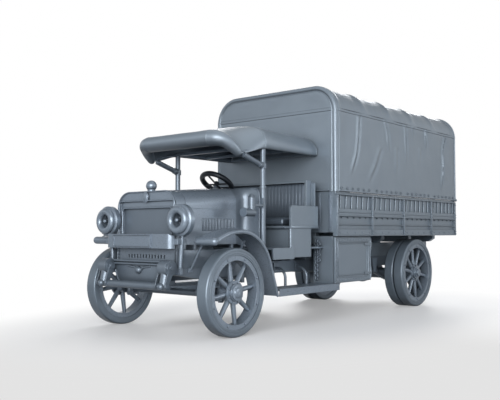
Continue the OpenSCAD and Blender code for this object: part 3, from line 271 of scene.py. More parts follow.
def tilt_outline(s):
    """Place and outward direction, as (x, z), at s along the half outline from hem to crown."""
    if s <= tilt_side:
        return (tilt_half, hem_z + s), (1, 0)
    if s <= tilt_side + tilt_arc:
        a = (s - tilt_side) / tilt_r
        out = (math.cos(a), math.sin(a))
        return (tilt_half - tilt_r + tilt_r * out[0], tilt_top - tilt_r + tilt_r * out[1]), out
    return (tilt_half - tilt_r - (s - tilt_side - tilt_arc), tilt_top), (0, 1)


def crease_height(y, z):
    """Sum of the creases at a place on the tilt's side."""
    total = 0
    for height, width, line in creases:
        top, low = line[0][1], line[-1][1]
        if not low - 150 < z < top + 40:
            continue
        pairs = list(zip(line, line[1:]))
        (ya, za), (yb, zb) = next((p for p in pairs if p[1][1] <= z), pairs[-1])
        t = (y - ya - (yb - ya) * (z - za) / (zb - za)) / width
        fade = ease((z - low + 150) / 260) * ease((top + 40 - z) / 60)
        total += 1.7 * height * fade * (bell(t + 0.8) - 0.8 * bell(t - 0.8))
    return total


def seam_band(off):
    """Height of a doubled, stitched band at a distance from its middle."""
    return 3.0 * (abs(off) < 17) - 2.2 * bell((off - 19) / 4) - 2.2 * bell((off + 19) / 4)


def tilt_lift(side, s, y):
    """How far the canvas stands out from its plain outline."""
    (_, z), _ = tilt_outline(s)
    near = ease((y - tilt_y0 - 70) / 90)
    bay = max(min(abs(y - h) for h in hoops) - hoop_w / 2, 0)
    past = s - seam_s - 20
    if past > 0:
        ridge = 26 + 130 * math.exp(-past / 70)
        sag = -11 * ease(past / 260) * ease(bay / (ridge + 120)) - 7 * ease(past / 40) * ease(bay / ridge)
    else:
        sag = -7 * ease((s - 500) / 450) * ease(bay / 300)
    fold = crease_height(y if side > 0 else tilt_y0 + tilt_y1 - y, z) if s < tilt_side + 30 else 0
    ripple = 4.5 * noise.noise(Vector((y / 330, s / 800, side * 3)))
    ripple += 1.6 * noise.noise(Vector((y / 90, s / 260, side * 7)))
    pucker = 1.2 * noise.noise(Vector((y / 28, 0, side))) * bell((s - seam_s) / 40)
    hem = 9 * math.sqrt(max(0, 1 - ((s - 15) / 15) ** 2))
    quiet = ease((tilt_y1 - y) / 60)
    return near * quiet * (sag + fold + ripple * ease(s / 120)) + seam_band(s - seam_s) + pucker + hem


# Front corner: a fat piped roll between two seam grooves, as y back from the front and inset
roll_y, roll_inset, roll_r = 34, 33, 35
corner = [(92, 0), (80, 0), (73, 3), (67, 8), (62, 9)]
corner_turns = [math.radians(q) for q in range(-40, 131, 17)]
corner += [(roll_y - roll_r * math.sin(a), roll_inset - roll_r * math.cos(a)) for a in corner_turns]
corner += [(11, 62), (6, 68), (2, 76)]

half_s = steps(0, 36, 8) + steps(36, tilt_side - 14, 42) + steps(tilt_side - 14, tilt_side + 50, 14)
half_s += steps(tilt_side + 50, tilt_side + tilt_arc, 20) + steps(tilt_side + tilt_arc, tilt_girth, 20)
around = [(1, s) for s in half_s] + [(1, tilt_girth)] + [(-1, s) for s in reversed(half_s)]


def tilt_point(side, s, y, inset):
    (x, z), (nx, nz) = tilt_outline(s)
    out = tilt_lift(side, s, y) if inset == 0 else 2.0 * (abs(s - seam_s) < 17)
    return mm(side * (x + nx * (out - inset)), y, z + nz * (out - inset))


lengthwise = [(y, 0) for y in steps(tilt_y1, tilt_y0 + 104, 150)]
lengthwise += [(tilt_y0 + back, inset) for back, inset in corner]
tilt_rows = [[tilt_point(side, s, y, inset) for side, s in around] for y, inset in lengthwise]
tilt_shell = surface("tilt_shell", tilt_rows)


def wall_point(across, z):
    """A place on the tilt's front wall; across runs from -1 to 1."""
    inset = 70
    reach = tilt_half - inset
    if z > tilt_top - tilt_r:
        reach = tilt_half - tilt_r + math.sqrt(max(0, (tilt_r - inset) ** 2 - (z - tilt_top + tilt_r) ** 2))
    dent = 5 * noise.noise(Vector((across * 2.6, z / 420, 5)))
    dent += 1.5 * noise.noise(Vector((across * 9, z / 110, 9)))
    calm = ease((1 - abs(across)) / 0.08) * ease((tilt_top - inset - z) / 60)
    return mm(across * reach, tilt_y0 + 4 - seam_band(z - hem_z - seam_s) - dent * calm, z)


wall_z = steps(hem_z, tilt_top - tilt_r - 14, 34) + steps(tilt_top - tilt_r - 14, tilt_top - tilt_r + 50, 14)
wall_z += steps(tilt_top - tilt_r + 50, tilt_top - 70, 16) + [tilt_top - 70]
tilt_wall = surface("tilt_wall", [[wall_point(i / 24 - 1, z) for i in range(49)] for z in wall_z])
tilt = joined("tilt_canvas", [tilt_shell, tilt_wall])
shaped(tilt, "SOLIDIFY", thickness=0.005, offset=-1)
finished(tilt, painted_canvas, smooth=60)
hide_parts("tilt_cover")

# Beads that stiffen the tilt's edges: rear opening, front hem, and the rolled ends at the rear corners
hem_beads = []
rear_line = [tilt_point(side, s, tilt_y1 - 4, 0.001) for side, s in around[6:-6]]
hem_beads.append(rod("rear_bead", rear_line, 13))
front_hem = [mm(x, tilt_y0 - 1, hem_z + 16) for x in steps(-tilt_half + 30, tilt_half - 30, 30)]
hem_beads.append(rod("front_bead", front_hem, 14))
for side in (-1, 1):
    roll = [mm(side * (tilt_half - 8), tilt_y1 + dy, hem_z + 12) for dy in (-75, -30, 10, 34)]
    hem_beads.append(rod("corner_roll", roll, 25, sides=5))
tilt_beads = finished(joined("tilt_beads", hem_beads), painted_canvas)

# Cab canopy: half cage from the tilt wall forwards, each row from the ridge out to the curled lower edge
canopy_rows = [
    [(0, 1868, 2385), (300, 1868, 2382), (480, 1868, 2372), (640, 1868, 2328),
     (748, 1868, 2205), (738, 1868, 2100), (712, 1868, 2104)],
    [(0, 1830, 2386), (300, 1830, 2383), (480, 1830, 2373), (640, 1830, 2329),
     (748, 1830, 2205), (738, 1830, 2100), (712, 1830, 2104)],
    [(0, 1330, 2394), (300, 1330, 2392), (490, 1330, 2380), (655, 1330, 2335),
     (762, 1330, 2205), (748, 1330, 2098), (720, 1330, 2104)],
    [(0, 900, 2402), (300, 900, 2400), (500, 900, 2392), (680, 900, 2352),
     (774, 900, 2214), (756, 900, 2096), (728, 900, 2104)],
    [(0, 760, 2412), (300, 760, 2411), (510, 760, 2404), (695, 760, 2370),
     (784, 760, 2222), (760, 760, 2094), (730, 760, 2104)],
    [(0, 640, 2384), (300, 640, 2380), (500, 642, 2358), (660, 650, 2296),
     (750, 664, 2182), (750, 676, 2080), (724, 676, 2092)],
    [(0, 430, 2330), (300, 430, 2324), (480, 448, 2296), (612, 480, 2228),
     (700, 530, 2136), (742, 556, 2046), (716, 560, 2058)],
    [(0, 262, 2288), (300, 262, 2284), (470, 280, 2264), (592, 325, 2204),
     (680, 398, 2110), (734, 440, 2014), (706, 446, 2026)],
    [(0, 130, 2236), (300, 130, 2236), (490, 140, 2230), (600, 185, 2185),
     (672, 262, 2100), (722, 345, 2000), (700, 372, 2010)],
]
cage = [mm(*p) for row in canopy_rows for p in row]
cage_faces = [
    [7 * r + c, 7 * (r + 1) + c, 7 * (r + 1) + c + 1, 7 * r + c + 1]
    for r in range(len(canopy_rows) - 1) for c in range(6)
]
canopy = mesh_piece("cab_canopy", cage, cage_faces)
shaped(canopy, "MIRROR", merge_threshold=0.0005)
shaped(canopy, "SUBSURF", levels=4, render_levels=4)
for v in canopy.data.vertices:
    swell = 2.2 * noise.noise(v.co * 4.5) + 0.9 * noise.noise(v.co * 16)
    v.co += v.normal * swell / 1000
canopy_faces = [p.vertices[:] for p in canopy.data.polygons]
canopy_shape = BVHTree.FromPolygons([v.co for v in canopy.data.vertices], canopy_faces)
shaped(canopy, "SOLIDIFY", thickness=0.007, offset=-1)
finished(canopy, painted_canvas, smooth=60)
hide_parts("canopy")


def canopy_seam(name, middle):
    """A sewn seam over the canopy, where upright spokes from a middle point meet its outside."""
    points = []
    for turn in range(-92, 93, 2):
        away = Vector((math.sin(math.radians(turn)), 0, math.cos(math.radians(turn))))
        hit = canopy_shape.ray_cast(middle + away * 2, -away)[0]
        if hit:
            points.append(hit + away * 0.001)
    return rod(name, points, 4.5)


# Fat sewn roll along the visor: middle line and radius, from the middle out to the brace
roll_line = [
    ((0, 90, 2180), 92), ((250, 90, 2180), 92), ((440, 90, 2180), 92), ((508, 92, 2180), 92),
    ((585, 114, 2174), 88), ((645, 170, 2146), 78), ((684, 232, 2096), 68), ((704, 284, 2050), 58),
    ((715, 320, 2014), 44), ((718, 346, 1996), 20),
]
visor_seam_x = 508


def smooth_line(line, per_step):
    """A finer line through weighted points, as (place, radius), by a cubic through neighbours."""
    rows = [(*p, r) for p, r in line]
    before = tuple(2 * a - b for a, b in zip(rows[0], rows[1]))
    after = tuple(2 * a - b for a, b in zip(rows[-1], rows[-2]))
    rows = [before] + rows + [after]
    out = []
    for i in range(1, len(rows) - 2):
        a, b, c, d = rows[i - 1:i + 3]
        for k in range(per_step):
            t = k / per_step
            point = []
            for p, q, r, u in zip(a, b, c, d):
                square, cube = 2 * p - 5 * q + 4 * r - u, 3 * q - p - 3 * r + u
                point.append(0.5 * (2 * q + (r - p) * t + square * t * t + cube * t ** 3))
            out.append(point)
    return out + [list(rows[-2])]


def capped(o):
    """Fills a skin's open ends and turns its faces outwards."""
    pick(o)
    bpy.ops.object.mode_set(mode="EDIT")
    bpy.ops.mesh.select_all(action="SELECT")
    bpy.ops.mesh.fill_holes(sides=0)
    bpy.ops.mesh.normals_make_consistent(inside=False)
    bpy.ops.object.mode_set(mode="OBJECT")
    return o


def swept(name, line, sides):
    """A closed round sleeve along a line of (x, y, z, radius)."""
    rows = []
    for i, (x, y, z, r) in enumerate(line):
        ahead = Vector(line[min(i + 1, len(line) - 1)][:3]) - Vector(line[max(i - 1, 0)][:3])
        side = ahead.cross(Vector((0, -1, 0.3))).normalized()
        up = side.cross(ahead).normalized()
        turns = [2 * math.pi * k / sides for k in range(sides)]
        rows.append([mm(*(Vector((x, y, z)) + r * (math.cos(a) * side + math.sin(a) * up))) for a in turns])
    return capped(surface(name, rows, ring=True))


half_roll = smooth_line(roll_line, 14)
whole_roll = [[-x, y, z, r] for x, y, z, r in reversed(half_roll[1:])] + half_roll
for row in whole_roll:
    off = abs(row[0]) - visor_seam_x
    row[3] += 3 * bell((off + 9) / 5) + 3 * bell((off - 9) / 5) - 3 * bell(off / 5)
    row[3] += 1.5 * noise.noise(Vector(row[:3]) / 130)
visor_roll = finished(swept("canopy_visor_roll", whole_roll, 40), painted_canvas, smooth=60)

seams = [canopy_seam("hoop_seam", mm(0, y, 2150)) for y in (762, 1846)]
canopy_seams = finished(joined("canopy_seams", seams), painted_canvas)

# Fluted back pad: a closed section drawn once for each step across, swelling between its sewn channels
(pad_x0, pad_x1), (pad_y0, pad_y1), (pad_z0, pad_z1) = span("seat_back_pad")
flutes = 27
per_flute = 8


def pad_section(x):
    """Closed outline in y and z of the back pad at x."""
    wave = abs(math.sin(math.pi * flutes * (x - pad_x0) / (pad_x1 - pad_x0))) ** 0.55
    end = ease(min(x - pad_x0, pad_x1 - x) / 30)
    depth = (pad_y1 - pad_y0 - 4) * (0.955 + 0.045 * wave * end)
    high = pad_z1 - 2 - 6 * (1 - wave * end)
    outline = []
    for k in range(12):
        t = k / 11
        swell = 0.80 + 0.20 * math.sin(math.pi * (0.15 + 0.75 * t))
        outline.append((pad_y1 - 2 - depth * swell, pad_z0 + 6 + (high - 60 - pad_z0) * t))
    for k in range(1, 8):
        a = math.pi * k / 8
        outline.append((pad_y1 - 2 - depth * (0.5 + 0.42 * math.cos(a)), high - 54 + 54 * math.sin(a)))
    outline += [(pad_y1 - 2 - depth * 0.06, high - 60), (pad_y1 - 2, pad_z0 + 6)]
    return [mm(x, y, z) for y, z in outline]


pad_steps = steps(pad_x0, pad_x1, flutes * per_flute) + [pad_x1]
pad_rows = [pad_section(x) for x in pad_steps]
back_pad = capped(surface("seat_back_flutes", pad_rows, ring=True))
finished(back_pad, painted_hide, smooth=50)
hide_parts("seat_back_pad")

# Seat cushion: a block with drawn-in sides, swollen by its own stuffing
(cush_x0, cush_x1), (cush_y0, cush_y1), (cush_z0, cush_z1) = span("seat_cushion")
bpy.ops.object.select_all(action="DESELECT")
cush_middle = mm((cush_x0 + cush_x1) / 2, (cush_y0 + cush_y1) / 2, (cush_z0 + cush_z1) / 2 - 4)
bpy.ops.mesh.primitive_cube_add(size=1, location=cush_middle)
cushion = bpy.context.object
cushion.name = "seat_cushion_cover"
cush_size = Vector((cush_x1 - cush_x0 - 40, cush_y1 - cush_y0 - 40, cush_z1 - cush_z0 - 24))
cushion.scale = cush_size / 1000
pick(cushion)
bpy.ops.object.transform_apply(location=True, rotation=True, scale=True)
shaped(cushion, "BEVEL", width=0.022, segments=3)
shaped(cushion, "REMESH", mode="VOXEL", voxel_size=0.012)
rest = [v.co.copy() for v in cushion.data.vertices]
pick(cushion)
cloth = cushion.modifiers.new("stuffing", "CLOTH")
cloth.settings.use_pressure = True
cloth.settings.uniform_pressure_force = 4
cloth.settings.effector_weights.gravity = 0
for step in range(1, 16):
    scene.frame_set(step)
bpy.ops.object.modifier_apply(modifier=cloth.name)
scene.frame_set(1)
most = 0.012
for v, start in zip(cushion.data.vertices, rest):
    move = v.co - start
    if move.length > most:
        v.co = start + move * (most / move.length)
    v.co.z = max(v.co.z, cush_z0 / 1000 + 0.001)
shaped(cushion, "SUBSURF", levels=1, render_levels=1)
finished(cushion, painted_hide, smooth=60)
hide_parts("seat_cushion")


def heads(name, radius, height, spots, finish, body="chassis"):
    """Bolt heads or rivets: one is modelled, then copied to each spot, (place, outward direction)."""
    bpy.ops.object.select_all(action="DESELECT")
    bpy.ops.mesh.primitive_cylinder_add(vertices=8, radius=radius / 1000, depth=1.6 * height / 1000)
    first = shaped(bpy.context.object, "BEVEL", width=height * 0.5 / 1000, segments=2)
    copies = []
    for place, out in spots:
        o = bpy.data.objects.new(name, first.data.copy())
        scene.collection.objects.link(o)
        o.location = place + Vector(out).normalized() * (0.2 * height / 1000)
        o.rotation_euler = Vector(out).to_track_quat("Z", "Y").to_euler()
        copies.append(o)
    bpy.data.objects.remove(first)
    return finished(joined(name, copies), finish, body)


def strap(x, y, z, edge):
    """A flat bar or plate with eased edges, from its spans in millimetres."""
    bpy.ops.object.select_all(action="DESELECT")
    bpy.ops.mesh.primitive_cube_add(size=1, location=mm(sum(x) / 2, sum(y) / 2, sum(z) / 2))
    o = bpy.context.object
    o.scale = [(b - a) / 1000 for a, b in (x, y, z)]
    pick(o)
    bpy.ops.object.transform_apply(location=True, rotation=True, scale=True)
    return shaped(o, "BEVEL", width=edge / 1000, segments=2)


def across_side(s, a, b):
    """A span in x from a to b out from the middle, on side s."""
    return sorted((s * a, s * b))


def ball(place, radius, stretch=(1, 1, 1), segments=28):
    """A ball or an egg, radius in millimetres."""
    bpy.ops.object.select_all(action="DESELECT")
    bpy.ops.mesh.primitive_uv_sphere_add(segments=segments, ring_count=14, radius=radius / 1000,
                                         location=place)
    o = bpy.context.object
    o.scale = stretch
    pick(o)
    bpy.ops.object.transform_apply(location=True, rotation=True, scale=True)
    return o


def link(place, radius, thick, turn, rounds=8):
    """A round link or eyelet, sizes in millimetres."""
    bpy.ops.object.select_all(action="DESELECT")
    bpy.ops.mesh.primitive_torus_add(major_radius=radius / 1000, minor_radius=thick / 1000, major_segments=16,
                                     minor_segments=rounds, location=place, rotation=turn)
    return bpy.context.object


def wheel_circle(x, y, z, radius, turns):
    """Points round a circle that faces sideways."""
    return [mm(x, y + radius * math.cos(a), z + radius * math.sin(a)) for a in turns]


both = (-1, 1)
sides = (("left", 1), ("right", -1))


def arch_line(half, z0, z1, r, y, n=8):
    """Upright outline with two rounded top corners, from the left foot round to the right foot."""
    arc = [math.pi / 2 * k / n for k in range(n + 1)]
    line = [(half, z0)] + [(half - r + r * math.cos(a), z1 - r + r * math.sin(a)) for a in arc]
    return [mm(x, y, z) for x, z in line] + [mm(-x, y, z) for x, z in reversed(line)]


# Radiator: beads round the header's step and the core's window, rivets down the frame, oval boss
(_, radiator_half), (radiator_y0, _), (radiator_z0, _) = span("radiator_shell")
(_, core_half), _, (core_z0, core_z1) = span("radiator_core")
step_half, step_top = radiator_half - 28, 1467
frame_beads = [
    rod("step_bead", arch_line(step_half, core_z0 - 30, step_top, 24, radiator_y0 - 1), 7, ring=True),
    rod("window_bead", arch_line(core_half + 2, core_z0, core_z1 + 2, 40, radiator_y0 + 15), 9, ring=True),
    rod("edge_bead", arch_line(radiator_half - 9, radiator_z0 + 6, 1567, 178, radiator_y0 - 1), 6, ring=True),
]
oval_z = 1505
oval_turns = steps(0, 2 * math.pi, 28)
oval = [mm(38 * math.cos(a), radiator_y0 - 3, oval_z + 56 * math.sin(a)) for a in oval_turns]
frame_beads.append(rod("boss_ring", oval, 7, ring=True))
frame_beads.append(ball(mm(0, radiator_y0 - 2, oval_z), 36, (1, 16 / 36, 54 / 36)))
finished(joined("radiator_mouldings", frame_beads), painted_steel)
rivet_x = (step_half + radiator_half) / 2 - 2
rivets = [(mm(s * rivet_x, radiator_y0, z), (0, -1, 0)) for s in both for z in range(830, 1400, 38)]
heads("radiator_rivets", 8, 7, rivets, painted_steel)

# Louvre hoods on the bonnet sides
(_, bonnet_half), (_, bonnet_y1), _ = span("bonnet_sides")
louvres, first_louvre, louvre_pitch = 22, -6, 25
hoods = []
for s in both:
    for k in range(louvres):
        y = first_louvre + louvre_pitch * k
        line = [mm(s * (bonnet_half + dx), y, z) for dx, z in ((-4, 1136), (3, 1142), (3, 1268), (-4, 1274))]
        hoods.append(rod("hood", line, 6.5, sides=2))
finished(joined("louvre_hoods", hoods), painted_steel)

# Scuttle: the bonnet's line flares in one smooth sweep to the dash board
(_, dash_half), (_, scuttle_y1), (scuttle_z0, scuttle_z1) = span("scuttle")
flare = []
for k in range(25):
    t = k / 24
    y = bonnet_y1 + 3 + (scuttle_y1 - 13 - bonnet_y1) * t
    half = bonnet_half - 1 + (dash_half - bonnet_half + 1) * t ** 6
    flare.append(arch_line(half, scuttle_z0 + 52 * (1 - t), scuttle_z1 - 2, 175 - 95 * t ** 1.6, y, n=12))
scuttle_skin = surface("scuttle_cowl", flare)
dash = mesh_piece("dash_panel", flare[-1], [list(range(len(flare[-1])))])
cowl = joined("scuttle_cowl", [scuttle_skin, dash])
pick(cowl)
bpy.ops.object.mode_set(mode="EDIT")
bpy.ops.mesh.select_all(action="SELECT")
bpy.ops.mesh.remove_doubles(threshold=0.0005)
bpy.ops.mesh.normals_make_consistent(inside=False)
bpy.ops.object.mode_set(mode="OBJECT")
shaped(cowl, "SOLIDIFY", thickness=0.006, offset=-1)
dash_bead = rod("dash_bead", flare[-1], 9)
# The cowl takes the darker iron paint: painted shade for the canopy's shadow on it
cowl = finished(joined("scuttle_cowl", [cowl, dash_bead]), painted_iron, smooth=35)
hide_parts("scuttle")

# Fender skins: crowned sheet between two beads, rolled down over the outer lip
fender_x0 = 690
crown_y, crown_z, front_r0, rear_r1 = 97, 1138, 840, 531
tail_y, tail_z = 740, 391
reach = Vector((tail_y - crown_y, tail_z - crown_z + rear_r1))
rear_turn = math.atan2(reach.x, reach.y) - math.acos(rear_r1 / reach.length)
front_turn = math.asin((crown_y + 344) / front_r0)
fender_run = [(crown_y, crown_z - front_r0, front_r0, -front_turn * (1 - k / 16)) for k in range(16)]
fender_run += [(crown_y, crown_z - rear_r1, rear_r1, rear_turn * k / 32) for k in range(33)]
fender_cut = [(0, -4), (0, 2), (5, 7), (13, 8), (20, 5)]
fender_cut += [(20 + 226 * k / 10, 5 + 15 * math.sin(math.pi * k / 10)) for k in range(1, 10)]
fender_cut += [(246, 5), (252, 9), (262, 11), (272, 9), (280, 4), (286, -6), (287, -18), (283, -26)]


def fender_row(s, y, z, slope):
    """The fender's section at a place on its crown line, standing along the slope's outward direction."""
    return [mm(s * (fender_x0 + dx), y + up * slope.x, z + up * slope.y) for dx, up in fender_cut]


skins = []
for s in both:
    rows = []
    for cy, cz, r, turn in fender_run:
        slope = Vector((math.sin(turn), math.cos(turn)))
        rows.append(fender_row(s, cy + r * slope.x, cz + r * slope.y, slope))
    rows.append(fender_row(s, tail_y, tail_z, slope))
    skins.append(surface("fender_skin", rows))
fender_skins = joined("fender_skins", skins)
pick(fender_skins)
bpy.ops.object.mode_set(mode="EDIT")
bpy.ops.mesh.select_all(action="SELECT")
bpy.ops.mesh.normals_make_consistent(inside=False)
bpy.ops.object.mode_set(mode="OBJECT")
shaped(fender_skins, "SOLIDIFY", thickness=0.003, offset=0)
finished(fender_skins, painted_steel, smooth=60)

# Lower front: apron with a starting boss and two bars, on the frame's front member
apron_y = -506
apron_outline = [(-398, 790), (-398, 700), (-350, 590), (-300, 560)]
apron_outline += [(-x, z) for x, z in reversed(apron_outline)]
apron = mesh_piece("apron_skin", [mm(x, apron_y, z) for x, z in apron_outline], [list(range(8))])
shaped(apron, "SOLIDIFY", thickness=0.012, offset=0)
shaped(apron, "BEVEL", width=0.005, segments=2, limit_method="ANGLE")
apron_lip = [mm(x, apron_y - 8, z) for x, z in apron_outline[1:-1]]
front_iron = [apron, rod("apron_lip", apron_lip, 9, sides=4), ball(mm(0, apron_y - 8, 706), 42)]
for z in (804, 772):
    front_iron.append(rod("apron_bar", [mm(x, apron_y - 24, z) for x in (-400, 0, 400)], 13, sides=4))
for s in both:
    arm = [mm(s * x, apron_y - 6, z) for x, z in ((20, 700), (70, 735), (190, 752))]
    front_iron.append(rod("apron_arm", arm, 13, sides=4))

# Tube across the spring ends with ball nuts, hung from barrels on the frame's bosses
boss_x, boss_y, boss_z = 487, -562, 742
tube_y, tube_z = -602, 549
tube = [mm(x, tube_y, tube_z) for x in (-548, -540, 0, 540, 548)]
front_iron.append(rod("spring_tube", tube, 40, sides=8))
for s in both:
    barrel = [mm(s * (boss_x + dx), boss_y, boss_z) for dx in (-62, -54, 54, 62)]
    front_iron.append(rod("boss_barrel", barrel, 84, sides=8))
    hanger = [mm(s * boss_x, boss_y, boss_z), mm(s * (boss_x + 1), tube_y - 2, tube_z + 7)]
    front_iron.append(rod("boss_link", hanger, 52, sides=8))
    front_iron.append(ball(mm(s * boss_x, tube_y - 42, tube_z + 3), 38, segments=24))
    for end in (-66, 66):
        disc = [mm(s * boss_x + end + d, boss_y, boss_z) for d in (-8, 0, 8)]
        front_iron.append(rod("boss_face", disc, 58, sides=8))
        nut = [mm(s * boss_x + 1.15 * end + d, boss_y, boss_z) for d in (-10, 0, 10)]
        front_iron.append(rod("boss_nut", nut, 26, sides=1))

# Side valances along the frame beside the engine, and a lip round the blank plate
rail_out, rail_top = 520, 762
valance_z = (rail_top - 30, rail_top + 165)
for s in both:
    front_iron.append(strap(across_side(s, rail_out - 2, rail_out + 4), (-450, 330), valance_z, 2))
plate_y = -572
plate_ring = [(-370, 960), (224, 960), (224, 1085), (-370, 1085)]
front_iron.append(rod("plate_lip", [mm(x, plate_y, z) for x, z in plate_ring], 6, ring=True))
finished(joined("front_irons", front_iron), painted_iron)

# Stout sleeves on the canopy's posts and braces, with collars
post_x, post_y, brace_z = 712, 772, 1897
brace_run, brace_rise = 372, 113


def brace_line(s, shares):
    """Points along a brace, at shares of its length from the post to the visor."""
    return [mm(s * post_x, post_y - brace_run * t, brace_z + brace_rise * t) for t in shares]


def post_line(s, heights):
    return [mm(s * post_x, post_y, z) for z in heights]


sleeves = []
for s in both:
    sleeves.append(rod("post_sleeve", post_line(s, (830, 1200, 1640, 1900, 2112)), 32, sides=6))
    sleeves.append(rod("post_foot", post_line(s, (1636, 1650, 1664)), 40, sides=6))
    sleeves.append(rod("brace_sleeve", brace_line(s, (0.02, 0.3, 0.6, 0.98)), 33, sides=6))
    sleeves.append(rod("brace_cuff", brace_line(s, (0.06, 0.12, 0.19)), 40, sides=6))
    sleeves.append(rod("post_collar", post_line(s, (brace_z - 31, brace_z, brace_z + 31)), 42, sides=6))
finished(joined("canopy_post_sleeves", sleeves), painted_iron)

# Seat: nosing along the seat board and a rounded front post on the box
seat_edges = []
for s in both:
    seat_edges.append(strap(across_side(s, 846, 860), (1126, 1714), (1164, 1198), 5))
    corner_post = [mm(s * 832, 1156, z) for z in (816, 900, 1050, 1166)]
    seat_edges.append(rod("box_corner", corner_post, 20, sides=5))
nosing = [mm(x, 1130, 1181) for x in steps(-850, 851, 20)]
seat_edges.append(rod("seat_nosing", nosing, 17, sides=4))
finished(joined("seat_edges", seat_edges), painted_timber)

# Steering wheel: thick moulded rim, four arms and a domed boss, round the joint's own axis
wheel_joint = next(j for j in frame["record"]["behaviour"]["joints"] if j["child"] == "steering_wheel")
up = Vector(wheel_joint["axis"])
up = up if up.z > 0 else -up
low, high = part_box("steering_wheel")
middle = (Vector(low) + Vector(high)) / 2 - up * 0.012
bpy.ops.object.select_all(action="DESELECT")
rim_r, rim_thick = 0.212, 0.035
bpy.ops.mesh.primitive_torus_add(major_radius=rim_r, minor_radius=rim_thick, major_segments=64,
                                 minor_segments=20, location=middle,
                                 rotation=up.to_track_quat("Z", "Y").to_euler())
wheel_parts = [bpy.context.object]
arm_up = up.cross(Vector((1, 0, 0))).normalized()
arm_side = arm_up.cross(up)
for arm in (arm_up, -arm_up, arm_side, -arm_side):
    wheel_parts.append(rod("arm", [middle - up * 0.02 + arm * d for d in (0.02, 0.10, rim_r - 0.007)], 12))
wheel_parts.append(rod("boss", [middle + up * d for d in (-0.055, -0.03, 0.0, 0.012)], 34, sides=6))
rim = joined("steering_wheel_rim", wheel_parts)
finished(rim, rim_dark_and_shade, "steering_wheel")
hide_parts("steering_wheel")

# Wheels: bolts round the hub flange and the felloe, rings on the tyre's face
(_, front_face), _, (_, front_d) = span("tyre_front_left")
(_, rear_face), rear_y, (_, rear_d) = span("tyre_rear_left")
rear_axle_y = sum(rear_y) / 2
tyre_depth, felloe_half = 78, 27
# axle, tyre face, hub flange and felloe inset from it, axle's place, radius, bolts, their circle
wheel_table = [
    ("front", front_face, 24, 8, 0, front_d / 2, 8, 110),
    ("rear", rear_face, 34, 7, rear_axle_y, rear_d / 2, 10, 112),
]
tyre_turns = steps(0, 2 * math.pi, 72)
for axle, face_x, hub_in, felloe_in, y, r, count, bolt_r in wheel_table:
    turns = [2 * math.pi * (k + 0.5) / count for k in range(count)]
    for side, s in sides:
        body = f"wheel_{axle}_{side}"
        bolts = wheel_circle(s * (face_x - hub_in), y, r, bolt_r, turns)
        bolts += wheel_circle(s * (face_x - felloe_in), y, r, r - tyre_depth - felloe_half, turns)
        spots = [(place, (s, 0, 0)) for place in bolts]
        heads(f"wheel_bolts_{axle}_{side}", 12, 13, spots, painted_steel, body)
        rings = []
        for inset in (30, 58):
            line = wheel_circle(s * (face_x - 1), y, r, r - inset, tyre_turns)
            rings.append(rod("tyre_ring", line, 4, ring=True, sides=2))
        finished(joined(f"tyre_rings_{axle}_{side}", rings), painted_rubber, body)

# Bed sides: irons on the stakes, beads along the rails, bolts through both
(_, bed_half), (bed_y0, bed_y1), (bed_z0, bed_z1) = span("bed_sides")
bay = (bed_y1 + 8 - bed_y0) / 4
stakes = [bed_y0 + 26] + [bed_y0 + i * bay for i in (1, 2, 3)] + [bed_y1 - 26]
stake_iron = 13
rail_z = bed_z0 + 266
rail_run = steps(bed_y0 + 4, bed_y1 - 4, 6) + [bed_y1 - 4]
rail_beads = [(bed_z0 + 10, 10), (bed_z0 + 150, 7), (rail_z - 2, 11), (rail_z + 44, 9), (bed_z1 - 34, 12)]
stake_bolt_z = (bed_z0 + 24, bed_z0 + 64, rail_z + 22, rail_z + 66, bed_z1 - 70)
bed_irons = []
bed_bolts = []
for s in both:
    out = (s, 0, 0)
    iron_x = across_side(s, bed_half - 2, bed_half + stake_iron)
    for y in stakes:
        bed_irons.append(strap(iron_x, (y - 21, y + 21), (bed_z0 + 4, bed_z1 - 44), 4))
        pairs = [(y + dy, z) for dy in (-11, 11) for z in stake_bolt_z]
        bed_bolts += [(mm(s * (bed_half + stake_iron), py, pz), out) for py, pz in pairs]
    for z, r in rail_beads:
        bed_irons.append(rod("rail_bead", [mm(s * bed_half, y, z) for y in rail_run], r))
    bed_bolts += [(mm(s * bed_half, bed_y0 + 90 + k * 182, bed_z0 + 44), out) for k in range(20)]
finished(joined("bed_side_irons", bed_irons), painted_timber)
heads("bed_bolts", 9, 7, bed_bolts, painted_steel)

# Eyelets in the tilt's hem, one at each turn of the lacing
facing_side = (0, math.pi / 2, 0)
first_eyelet, eyelet_pitch = 122, (bay - 158) / 5.4
eyelets = []
for s in both:
    for i in range(4):
        for k in range(6):
            y = bed_y0 + i * bay + first_eyelet + k * eyelet_pitch
            eyelets.append(link(mm(s * (tilt_half + 9), y, hem_z + 46), 15, 4.5, facing_side, rounds=6))
finished(joined("tilt_eyelets", eyelets), painted_steel)

# Bed front: flat irons with bolts
irons = []
front_bolts = []
for s in both:
    for x in (560, 760, 930):
        irons.append(strap((s * x - 24, s * x + 24), (bed_y0 - 9, bed_y0 + 2), (bed_z0 + 50, bed_z1 - 8), 3))
        bolt_z = (bed_z0 + 90, bed_z0 + 240, bed_z1 - 60)
        front_bolts += [(mm(s * x, bed_y0 - 9, z), (0, -1, 0)) for z in bolt_z]
finished(joined("bed_front_irons", irons), painted_steel)
heads("bed_front_bolts", 10, 8, front_bolts, painted_steel)

# Two chains that hang beside each locker, every second link turned
link_pitch = 34
chain_top = 1000
for side, s in reversed(sides):
    links = []
    for x, y, chain_end in ((738, bed_y0 - 34, 490), (772, bed_y0 - 32, 720)):
        for k in range(int((chain_top - chain_end) / link_pitch)):
            turn = (0, math.pi / 2, k % 2 * math.pi / 2)
            links.append(link(mm(s * x, y, chain_top - link_pitch * k), 23, 8, turn))
    finished(joined(f"bed_chain_{side}", links), painted_steel)

